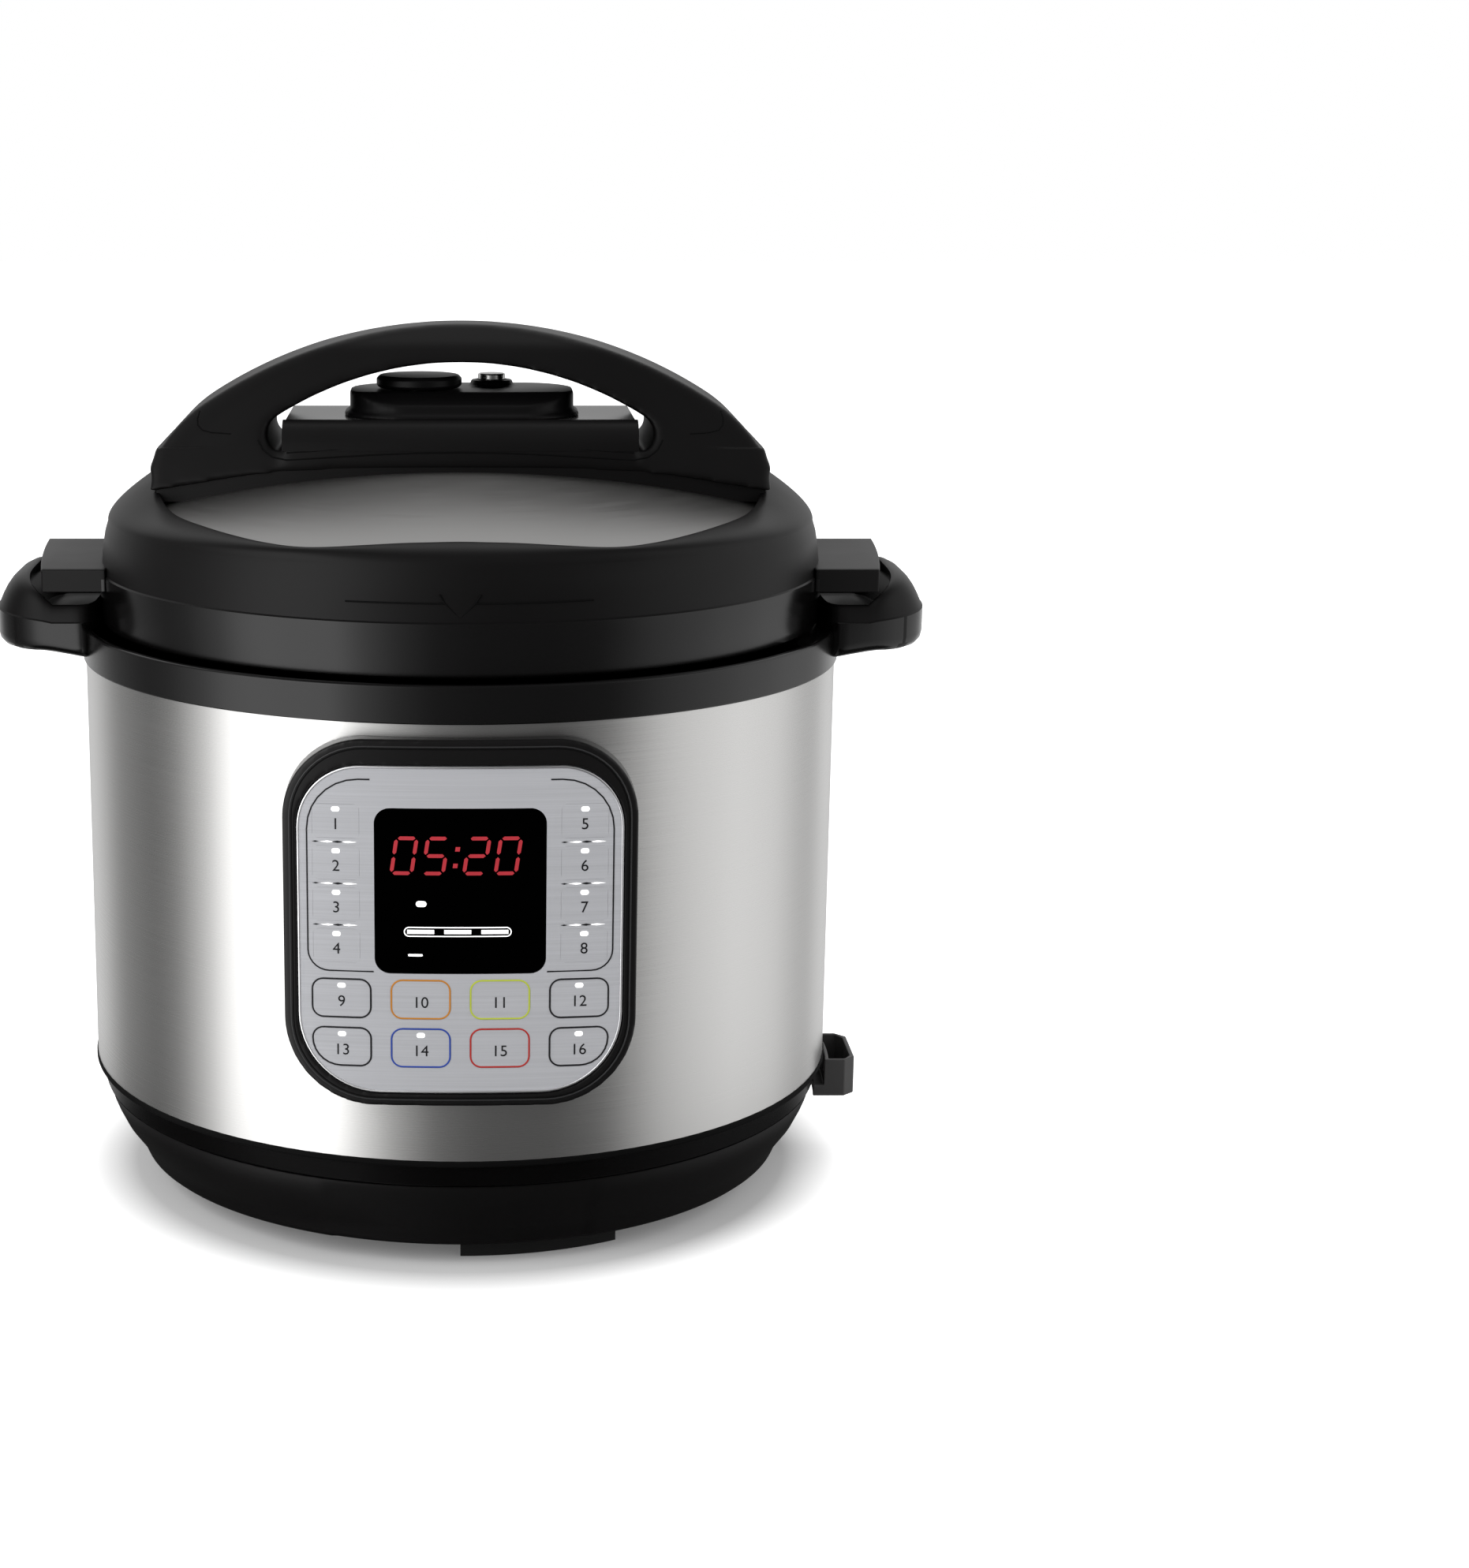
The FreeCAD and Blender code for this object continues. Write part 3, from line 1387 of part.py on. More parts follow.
def lid_ring():
    """The lid's plastic cover: skirt, ears, shoulders, and the bridge under the handle."""
    inner = s("lid_radius") - s("lid_wall")
    skirt_bottom = rim_top + s("skirt_gap")
    top = s("lid_top_radius")
    pocket = s("dome_radius") + s("dome_gap")
    cover = turned("lid_cover", corners(
        (s("skirt_radius"), skirt_bottom), (s("lid_radius"), s("lid_equator")),
        (s("lid_brow_radius"), s("lid_brow")), (s("lid_edge_radius"), s("lid_edge")),
        Corner(top, on_sphere(top, over_bridge), arc=over_bridge),
        Corner(0, dome_centre + over_bridge),
        Corner(0, dome_centre + under_bridge, arc=-under_bridge),
        (pocket, on_sphere(pocket, under_bridge)), (pocket, s("lid_brow") + s("lid_brow_wall")),
        (inner, s("lid_brow") - s("lid_brow_inset")), (inner, skirt_bottom)))
    low = s("shoulder_inner_radius")
    shoulder_ring = turned("shoulder_ring", corners(
        (low, on_sphere(low, under_bridge)), (pocket, on_sphere(pocket, under_bridge)),
        (pocket + s("shoulder_root"), s("lid_brow")), (s("lid_brow_radius"), s("lid_brow")),
        (s("shoulder_brow_radius"), s("shoulder_brow")),
        (s("shoulder_knee_radius"), s("shoulder_knee")),
        (s("handle_foot_reach"), s("shoulder_top")), (low, s("shoulder_top"))))
    half, foot = s("shoulder_half_width"), s("shoulder_foot_half_width")
    low, high = s("lid_brow") - s("edge_round"), s("shoulder_top") + s("edge_round")
    wedge = prism("shoulder_wedge", "YZ", corners((-foot, low), (foot, low), (half, high),
                                                  (-half, high)), *across(s("lid_radius")))
    shoulders = common("lid_shoulders", shoulder_ring, wedge)
    body = fuse("lid_body", cover, shoulders, ears())
    space = cylinder("lid_inside", inner, s("ear_top") - 2 * s("ear_thickness"),
                     3 * s("ear_thickness"))
    windows = [prism(f"lid_window_{k}", "XY", window_outline(side), s("lid_equator"),
                     s("handle_crown_z") - s("lid_equator"))
               for k, side in enumerate((-1, 1))]
    return cut("lid_ring", body, space, *windows, *lid_bores("ring"))


def ears():
    """The flat ears over the side handles, with rounded outer ends."""
    half = s("ear_half_width")
    plan = prism("ear_plan", "XY", corners(
        (-s("ear_reach"), -half), (s("ear_reach"), -half), (s("ear_reach"), half),
        (-s("ear_reach"), half)), s("ear_top") - s("ear_thickness"), s("ear_thickness"))
    return common("lid_ears", plan, cylinder("ear_round", s("ear_reach"),
                                             s("ear_top") - 2 * s("ear_thickness"),
                                             3 * s("ear_thickness")))


def handle_blank():
    """The arch of the handle, foot to foot, before it is parted into base and grip."""
    arch = prism("handle_arch", "XZ", mirrored([
        Corner(s("handle_toe_reach"), s("handle_toe_z")),
        Corner(s("handle_foot_reach"), s("handle_foot_z"), arc=s("handle_end_curve")),
        Corner(s("handle_shoulder_reach"), s("handle_shoulder_z"), arc=s("handle_arch_curve")),
    ], closing=-s("handle_belly_curve")), *across(s("handle_foot_half_depth")))
    profile = prism("handle_profile", "YZ", mirrored([
        Corner(s("handle_foot_half_depth"), s("handle_toe_z")),
        Corner(s("handle_top_half_depth"), s("handle_side_top"), s("handle_round")),
        Corner(s("handle_crown_half_depth"), s("handle_crown_z"), s("handle_round")),
    ]), *across(s("handle_foot_reach")))
    slot = prism("handle_slot", "XZ", mirrored([
        Corner(s("slot_end_reach"), s("slot_bottom"), arc=s("slot_end_curve")),
        Corner(s("slot_reach"), s("slot_top"), arc=s("slot_top_curve")),
    ], closing=-s("slot_bottom_curve")), *across(s("handle_foot_half_depth")))
    return cut("handle_blank", common("handle_solid", arch, profile), slot)


def grip_region(label, gap):
    """Everything above the parting line between grip and base, moved outwards by gap."""
    far = 2 * s("handle_foot_reach")
    return prism(label, "XZ", mirrored([
        Corner(s("slot_end_reach"), s("slot_top") - s("slot_end_curve")),
        Corner(s("slot_end_reach"), s("seam_z") - gap),
        Corner(s("seam_reach"), s("seam_z") - gap),
        Corner(s("seam_reach") + gap + s("seam_slant"), s("seam_outer_z") - gap),
        Corner(far, s("seam_outer_z") - gap),
        Corner(far, s("handle_crown_z") + s("overrun")),
    ]), *across(s("handle_foot_half_depth")))


def handle_grip(blank):
    return common("handle_grip", blank, grip_region("grip_space", 0))


def handle_base(blank, ring):
    foot = cut("handle_feet", blank, grip_region("base_space", s("seam_gap")))
    tray = prism("handle_tray", "YZ", mirrored([
        Corner(s("tray_lip_half_depth"), s("handle_foot_z")),
        Corner(s("tray_lip_half_depth"), s("tray_lip_z")),
        Corner(s("tray_crest_half_depth"), s("tray_z")),
    ]), -s("tray_half_length"), 2 * s("tray_half_length"))
    boss_foot = top_of_pan(stud_circle() - s("stud_boss_radius")) + s("dome_gap")
    bosses = [cylinder(f"handle_boss_{k}", s("stud_boss_radius"), boss_foot,
                       s("handle_foot_z") - boss_foot, x, y)
              for k, (x, y) in enumerate(stud_spots())]
    under = turned("handle_clearance", corners(
        (0, s("pan_flat_z")), (s("lid_radius"), s("pan_flat_z")),
        Corner(s("lid_radius"), on_sphere(s("lid_radius"), over_bridge), arc=over_bridge),
        (0, dome_centre + over_bridge)))
    low = s("pan_flat_z")
    studs = [cylinder(f"base_stud_bore_{k}", s("stud_radius"), low,
                      s("handle_toe_z") + s("stud_depth") - low, x, y)
             for k, (x, y) in enumerate(stud_spots())]
    solid = cut("handle_base_solid", fuse("handle_base_body", foot, tray), under, ring)
    return cut("handle_base", fuse("handle_base_bosses", solid, *bosses), *studs,
               *valve_bores("base", s("vent_well_radius")))


# ---------------------------------------------------------------------------- valves
def valve_platform():
    """The raised deck on the tray that the steam vent and the float valve come up through."""
    half = s("platform_half_depth")

    low, top = s("tray_z"), s("platform_top")

    def stadium(label, grow, height):
        left, right = s("platform_left") + grow, s("platform_right") + grow
        rounding = s("platform_round") + grow
        return prism(label, "XY", corners(
            (-left, -half - grow, rounding), (right, -half - grow, rounding),
            (right, half + grow, rounding), (-left, half + grow, rounding)), low, height)

    side = prism("platform_profile", "YZ", corners(
        (-half, low), (half, low), (half, top, s("edge_round")),
        (-half + s("platform_brow_depth"), top, s("platform_brow_round")),
        (-half, s("platform_brow_z"), s("edge_round"))), *across(s("platform_right")))
    deck = common("platform_deck", stadium("platform_plan", 0, top + s("overrun") - low),
                  side)
    step = stadium("platform_flange", s("platform_step"), s("platform_step_height"))
    collar = cylinder("float_collar",
                      s("float_disc_radius") + s("valve_clearance") + s("float_collar_width"),
                      low, top - low + s("float_collar_height"), s("float_x"), s("float_y"))
    return cut("valve_platform", fuse("platform_body", deck, step, collar),
               *valve_bores("platform", s("weight_radius") + s("valve_clearance")))


def vent_pipe():
    """The steam outlet, clamped through the inner lid by its nut."""
    bottom = pan_crown_z - s("pan_wall") - s("vent_pipe_foot")
    x = s("vent_x")
    pipe = cylinder("vent_tube", s("vent_pipe_radius"), bottom, s("vent_pipe_top") - bottom, x)
    nut = cylinder("vent_nut", s("vent_nut_radius"), pan_crown_z, s("vent_nut_height"), x)
    bore = cylinder("vent_bore", s("vent_bore_radius"), bottom - s("overrun"),
                    s("vent_pipe_top") - bottom + 2 * s("overrun"), x)
    return cut("vent_pipe", fuse("vent_pipe_body", pipe, nut), bore)


def anti_block_shield():
    """A small cage under the inner lid that keeps food out of the vent."""
    top = pan_crown_z - s("pan_wall") - s("dome_gap") * 2
    bottom = top - s("shield_height")
    x = s("vent_x")
    can = cut("shield_can", cylinder("shield_outside", s("shield_radius"), bottom,
                                     s("shield_height"), x),
              cylinder("shield_inside", s("shield_radius") - s("shield_wall"),
                       bottom + s("shield_wall"), s("shield_height"), x))
    reach, half = s("shield_radius") + s("overrun"), s("shield_slot_width") / 2
    slots = [box(f"shield_slot_{k}",
                 (x - reach, offset - half, bottom + 2 * s("shield_wall")),
                 (x + reach, offset + half, top - 2 * s("shield_wall")))
             for k, offset in enumerate((-s("shield_slot_pitch"), 0,
                                         s("shield_slot_pitch")))]
    return cut("anti_block_shield", can, *slots)


def vent_weight():
    bottom = s("vent_pipe_top") + s("seal_gap")
    return cylinder("vent_weight", s("weight_radius"), bottom, s("weight_height"), s("vent_x"))


def steam_release_knob():
    """The round knob over the vent, carried by the weight that it caps."""
    bottom = s("platform_top") + s("knob_gap")
    top = bottom + s("knob_height")
    radius, bore = s("knob_radius"), s("weight_radius") + s("weight_fit")
    foot, chamfer = s("knob_foot_chamfer"), s("knob_chamfer")
    seat = s("vent_pipe_top") + s("seal_gap") + s("weight_height")
    return place(turned("steam_release_knob", corners(
        (bore, bottom), (radius - foot, bottom), (radius, bottom + foot), (radius, top - chamfer),
        (radius - chamfer, top), (0, top), (0, seat), (bore, seat))), s("vent_x"))


def float_foot():
    """Height of the float's lower end, which leaves room for its rise."""
    return (pan_crown_z - s("pan_wall") - s("float_rise") - s("float_cap_drop")
            - s("float_cap_height"))


def float_valve():
    top = s("float_disc_top")
    under = top - s("float_disc_height")
    disc, stem = s("float_disc_radius"), s("float_stem_radius")
    return place(turned("float_valve", corners(
        (0, float_foot()), (stem, float_foot()), (stem, under), (disc, under),
        (disc, top, s("float_round")), (0, top))), s("float_x"), s("float_y"))


def float_cap():
    """The silicone cap at the float's foot, which seals against the inner lid."""
    bottom, stem, outer = float_foot(), s("float_stem_radius"), s("float_cap_radius")
    top = bottom + s("float_cap_height")
    return place(turned("float_cap", corners(
        (stem, bottom), (outer, bottom, s("float_round")), (outer, top, s("float_round")),
        (stem, top))), s("float_x"), s("float_y"))


# ---------------------------------------------------------------------------- assembly
for build in (base_housing, bottom_cover, rubber_feet, base_screws, body_shell, top_rim,
              outer_pot, bayonet_flange, heating_plate, heating_element, temperature_sensor,
              sensor_spring, power_board, pressure_switch, thermal_fuse, power_inlet, inlet_pins,
              panel_frame, display_window, display_module, control_board, key_switches,
              condensation_cup, inner_pot, sealing_ring, inner_lid, lid_screws, ring_rack,
              lid_dome, valve_platform, vent_pipe, anti_block_shield, vent_weight,
              steam_release_knob, float_valve, float_cap):
    node(build())

plate_skin = panel_skin("plate_skin", s("plate_recess"), s("plate_thickness"))
node(control_panel(plate_skin))
for number, spot in enumerate(key_places(), start=1):
    node(key(number, spot, plate_skin))
node(side_handle("side_handle_left", -1))
node(side_handle("side_handle_right", 1))
cover = node(lid_ring())
handle = handle_blank()
node(handle_grip(handle))
node(handle_base(handle, cover))

doc.recompute()
faults = [item.Name for item in doc.Objects if {"Invalid", "Error"} & set(item.State)]
if faults:
    raise RuntimeError("failed objects: " + ", ".join(faults))
for item in nodes:
    if item.Shape.isNull() or not item.Shape.isValid() or not item.Shape.Solids:
        raise RuntimeError("bad shape: " + item.Label)

os.makedirs("parts", exist_ok=True)
for item in nodes:
    item.Shape.exportStep(f"parts/{item.Label}.step")
print(len(nodes), "sub-parts written")
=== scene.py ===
"""Looks of an electric pressure cooker: stage, finishes, and the pieces that stand for its plain CAD nodes.

Metres, unless a comment says millimetres. +Z is up, -Y is the front with the control panel, and the origin is
on the floor under the pot.
"""

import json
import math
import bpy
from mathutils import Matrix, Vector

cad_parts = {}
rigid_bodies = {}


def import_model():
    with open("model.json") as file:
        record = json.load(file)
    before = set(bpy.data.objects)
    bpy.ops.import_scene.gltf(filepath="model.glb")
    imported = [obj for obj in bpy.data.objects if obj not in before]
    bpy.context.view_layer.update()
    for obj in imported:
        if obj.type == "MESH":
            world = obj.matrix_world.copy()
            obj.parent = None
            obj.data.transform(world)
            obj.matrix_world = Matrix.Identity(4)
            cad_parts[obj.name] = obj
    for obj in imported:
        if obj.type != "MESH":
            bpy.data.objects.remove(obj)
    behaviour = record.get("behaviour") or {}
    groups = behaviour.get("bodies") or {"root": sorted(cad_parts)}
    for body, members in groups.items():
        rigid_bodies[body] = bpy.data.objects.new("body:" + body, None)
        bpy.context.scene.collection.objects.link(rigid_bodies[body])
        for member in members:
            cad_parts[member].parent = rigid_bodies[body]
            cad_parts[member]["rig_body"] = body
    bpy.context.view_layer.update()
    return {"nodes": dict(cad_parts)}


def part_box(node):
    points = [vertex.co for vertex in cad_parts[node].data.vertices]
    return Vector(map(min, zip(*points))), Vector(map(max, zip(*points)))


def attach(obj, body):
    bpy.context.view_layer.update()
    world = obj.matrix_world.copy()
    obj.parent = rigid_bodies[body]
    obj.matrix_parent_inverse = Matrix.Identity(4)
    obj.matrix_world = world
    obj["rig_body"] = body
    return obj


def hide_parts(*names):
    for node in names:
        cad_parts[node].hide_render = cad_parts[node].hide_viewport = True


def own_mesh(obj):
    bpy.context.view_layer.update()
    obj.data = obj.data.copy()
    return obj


bl_info = {
    "name": "Electric pressure cooker",
    "version": (1, 0, 0),
    "blender": (4, 5, 0),
    "location": "3D View > Sidebar > Cooker",
    "description": "Models and finishes an electric pressure cooker round its CAD frame",
    "category": "Object",
}

import bmesh
import bpy
from bpy.props import FloatProperty, FloatVectorProperty, PointerProperty
from mathutils import Vector

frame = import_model()
NODES = frame["nodes"]
BODY_OF = {name: node["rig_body"] for name, node in NODES.items()}
SLOT_OF = {name: node.material_slots[0].name for name, node in NODES.items()}
FINISHES = {}


# ---- values a user would change
def plain(name, description, default, **settings):
    return FloatProperty(name=name, description=description, default=default, **settings)


def length(name, description, default):
    return plain(name, description, default, min=0.0, unit="LENGTH", subtype="DISTANCE", precision=4)


def share(name, description, default):
    return plain(name, description, default, min=0.0, max=1.0, subtype="FACTOR")


def angle(name, description, degrees):
    return plain(name, description, math.radians(degrees), subtype="ANGLE", unit="ROTATION")


def colour(name, description, default):
    return FloatVectorProperty(name=name, description=description, default=default, size=3,
                               min=0.0, max=1.0, subtype="COLOR")


class CookerStage(bpy.types.PropertyGroup):
    camera_distance: length("Camera distance", "From the pot's axis to the lens, along the floor", 1.03)
    camera_height: length("Camera height", "Height of the lens over the floor", 0.3869)
    camera_tilt: angle("Camera tilt", "Turn about X, from looking straight down", 76.924)
    lens: plain("Lens", "Focal length on a 36 mm sensor, in millimetres", 64.54)
    frame_across: plain("Frame across", "Lens shift that leaves room at the right", 0.1748)
    frame_up: plain("Frame up", "Lens shift upwards", -0.0065)
    tent_radius: length("Tent radius", "Radius of the tent that the steel reflects", 0.26)
    tent_height: length("Tent height", "Height of the tent that the steel reflects", 0.40)
    ceiling: share("Ceiling behind", "Brightness of the tent's top behind the cooker", 0.80)
    ceiling_front: share("Ceiling in front", "Brightness of the tent's top before the cooker", 0.14)
    sky: plain("Sky", "Strength of the light from all round", 0.5)
    key: plain("Key light", "Power of the large light at the left", 13.0)
    fill: plain("Fill light", "Power of the light at the right", 6.0)
    top: plain("Top light", "Power of the light overhead", 10.0)


class CookerColours(bpy.types.PropertyGroup):
    plastic: colour("Black plastic", "Lid cover, handles, rim and base", (0.0040, 0.0037, 0.0038))
    bezel: colour("Bezel plastic", "Frame round the panel", (0.0062, 0.0058, 0.0060))
    knob: colour("Valve plastic", "Steam knob and its deck", (0.0030, 0.0028, 0.0030))
    shell: colour("Shell steel", "Brushed body of the cooker", (0.66, 0.655, 0.645))
    dome: colour("Dome steel", "Steel in the lid's windows", (0.40, 0.396, 0.39))
    pan: colour("Pan steel", "Pot, liner and inner lid", (0.60, 0.595, 0.585))
    panel: colour("Panel silver", "Plate and keys", (0.50, 0.505, 0.53))
    glass: colour("Display glass", "Smoked window", (0.0003, 0.0003, 0.0003))


# ---- finishes
class Finish:
    """A material being made: its nodes, and its one surface shader."""

    def __init__(self, name):
        self.material = bpy.data.materials.new(name)
        self.material.use_nodes = True
        self.tree = self.material.node_tree
        self.shader = self.tree.nodes["Principled BSDF"]
        self.place = self.add("ShaderNodeTexCoord").outputs["Object"]

    def add(self, kind, inputs=None, **settings):
        """A node of that kind; each input is a value, or a socket that is linked to it."""
        node = self.tree.nodes.new(kind)
        for name, value in settings.items():
            setattr(node, name, value)
        self.feed(node, inputs or {})
        return node

    def feed(self, node, inputs):
        for name, value in inputs.items():
            if isinstance(value, bpy.types.NodeSocket):
                self.tree.links.new(value, node.inputs[name])
            else:
                node.inputs[name].default_value = value

    def noise(self, scale, detail=2.0, vector=None, roughness=0.5):
        node = self.add("ShaderNodeTexNoise", {"Vector": vector or self.place, "Scale": scale,
                                               "Detail": detail, "Roughness": roughness})
        return node.outputs["Fac"]

    def between(self, factor, low, high, start=0.3, end=0.7):
        """A number that goes from low to high as factor goes from start to end."""
        node = self.add("ShaderNodeMapRange", {"Value": factor, "From Min": start, "From Max": end,
                                               "To Min": low, "To Max": high})
        return node.outputs["Result"]

    def shade(self, factor, base, change):
        """The base colour made darker and lighter by that share as factor changes."""
        dark, light = [[min(1.0, c * (1 + sign * change)) for c in base] for sign in (-1, 1)]
        return self.mix(factor, (*dark, 1.0), (*light, 1.0))

    def mix(self, factor, first, second):
        """The first colour passing into the second; 6, 7 and 2 are the sockets that a mix of colours uses."""
        node = self.add("ShaderNodeMix", data_type="RGBA")
        self.feed(node, {"Factor": factor, 6: first, 7: second})
        return node.outputs[2]

    def bump(self, height, distance, strength):
        node = self.add("ShaderNodeBump", {"Height": height, "Distance": distance, "Strength": strength})
        return node.outputs["Normal"]

    def math(self, operation, a, b=0.0):
        node = self.add("ShaderNodeMath", operation=operation)
        self.feed(node, {0: a, 1: b})
        return node.outputs[0]

    def stretched(self, along_x, along_y, along_z):
        """Object coordinates multiplied along each axis."""
        node = self.add("ShaderNodeMapping", {"Vector": self.place, "Scale": (along_x, along_y, along_z)})
        return node.outputs["Vector"]

    def split(self):
        """The coordinates X, Y and Z, each by its name."""
        return self.add("ShaderNodeSeparateXYZ", {"Vector": self.place}).outputs

    def turn(self):
        """The angle round Z: nought at the front, more to the right, with its seam at the rear."""
        axes = self.split()
        return self.math("ARCTAN2", axes["X"], self.math("MULTIPLY", axes["Y"], -1.0))

    def ringed(self, round_scale, other, other_scale):
        """Coordinates whose first axis runs round Z, and whose second is the other number."""
        joined_up = self.add("ShaderNodeCombineXYZ", {"X": self.math("MULTIPLY", self.turn(), round_scale),
                                                      "Y": self.math("MULTIPLY", other, other_scale)})
        return joined_up.outputs["Vector"]

    def distance(self, axes=(1.0, 1.0, 1.0)):
        """How far a point is from the origin, along the axes that aren't nought."""
        kept = self.add("ShaderNodeVectorMath", {0: self.place, 1: axes}, operation="MULTIPLY")
        return self.add("ShaderNodeVectorMath", {0: kept.outputs[0]}, operation="LENGTH").outputs["Value"]

    def surface(self, **inputs):
        """Sets the shader's sockets, named with underscores for spaces."""
        self.feed(self.shader, {name.replace("_", " "): value for name, value in inputs.items()})
        return self.material


def mottled(name, base, roughness, cloud, grain, change, spread, bump, **constants):
    """A slow cloud in shade and gloss over a fine grain, both given by scale and detail; the bump has a depth
    and a strength, and change and spread say how far shade and roughness vary."""
    finish = Finish(name)
    slow = finish.noise(*cloud)
    return finish.surface(
        Base_Color=finish.shade(slow, base, change),
        Roughness=finish.between(slow, roughness - spread, roughness + spread),
        Normal=finish.bump(finish.noise(*grain), *bump), **constants)


def moulded_plastic(name, base, roughness, specular=0.35, grain=0.00045):
    """Satin moulded plastic with a fine spark grain."""
    return mottled(name, base, roughness, (14.0, 3.0), (1.0 / grain, 2.0), 0.16, 0.035, (0.000012, 0.6),
                   Specular_IOR_Level=specular)


def satin_steel(name, base, roughness):
    """Pressed steel with a soft even satin."""
    return mottled(name, base, roughness, (12.0, 3.0), (2400.0, 2.0), 0.05, 0.04, (0.000004, 0.4),
                   Metallic=1.0)


def smoked_glass(name, base, specular):
    """Dark and polished, with the faintest ripple."""
    return mottled(name, base, 0.12, (22.0, 2.0), (22.0, 2.0), 0.2, 0.02, (0.00001, 0.2),
                   Specular_IOR_Level=specular)


def soft_rubber(name, base, roughness, specular=0.3):
    """Rubber, silicone or ink: dull, faintly mottled."""
    return mottled(name, base, roughness, (30.0, 3.0), (900.0, 2.0), 0.1, 0.05, (0.00002, 0.4),
                   Specular_IOR_Level=specular)


def brushed_steel(name, base, roughness, lines, anisotropic, spread=0.07):
    """Steel brushed in fine lines; lines gives the stretched coordinates that they follow."""
    finish = Finish(name)
    streak = finish.noise(1.0, 4.0, lines(finish), 0.62)
    cloud = finish.noise(7.0, 2.0)
    mixed = finish.math("ADD", finish.math("MULTIPLY", cloud, 0.25), finish.math("MULTIPLY", streak, 0.75))
    tangent = finish.add("ShaderNodeTangent", direction_type="RADIAL", axis="Z")
    return finish.surface(
        Metallic=1.0, Anisotropic=anisotropic, Anisotropic_Rotation=0.25,
        Base_Color=finish.shade(streak, base, 0.05),
        Roughness=finish.between(mixed, roughness - spread, roughness + spread),
        Normal=finish.bump(streak, 0.000006, 0.5),
        Tangent=tangent.outputs["Tangent"])


def brushed_silver(name, base):
    """Silver film printed on the panel, brushed straight across."""
    finish = Finish(name)
    streak = finish.noise(1.0, 3.0, finish.stretched(18.0, 18.0, 4200.0), 0.6)
    wide = finish.noise(1.0, 2.0, finish.stretched(7.0, 7.0, 900.0), 0.5)
    both = finish.math("ADD", finish.math("MULTIPLY", streak, 0.6), finish.math("MULTIPLY", wide, 0.4))
    return finish.surface(
        Metallic=0.12, Specular_IOR_Level=0.4,
        Base_Color=finish.shade(both, base, 0.24),
        Roughness=finish.between(both, 0.40, 0.54),
        Normal=finish.bump(streak, 0.000008, 0.5))


def printed_board(name, base):
    """Green circuit board with copper tracks under its mask."""
    finish = Finish(name)
    tracks = finish.add("ShaderNodeTexBrick", {"Vector": finish.place, "Scale": 130.0,
                                               "Mortar Size": 0.04, "Color1": (*base, 1.0),
                                               "Color2": (*[c * 0.8 for c in base], 1.0),
                                               "Mortar": (*[min(1.0, c * 1.8) for c in base], 1.0)})
    return finish.surface(
        Base_Color=tracks.outputs["Color"],
        Roughness=finish.between(finish.noise(40.0), 0.32, 0.42),
        Normal=finish.bump(tracks.outputs["Fac"], 0.00003, 0.5))


def cast_metal(name, base, roughness):
    """Cast aluminium: metallic, pitted and dull."""
    finish = Finish(name)
    pits = finish.noise(420.0, 4.0)
    return finish.surface(
        Metallic=1.0,
        Base_Color=finish.shade(finish.noise(26.0), base, 0.08),
        Roughness=finish.between(pits, roughness - 0.08, roughness + 0.08),
        Normal=finish.bump(pits, 0.00004, 0.6))


def glowing(name, base, strength):
    """A lamp's lens, lit evenly from behind."""
    finish = Finish(name)
    cloud = finish.noise(300.0)
    return finish.surface(
        Emission_Color=(*base, 1.0), Roughness=0.4,
        Base_Color=finish.shade(cloud, base, 0.08),
        Emission_Strength=finish.between(cloud, strength * 0.85, strength * 1.1))


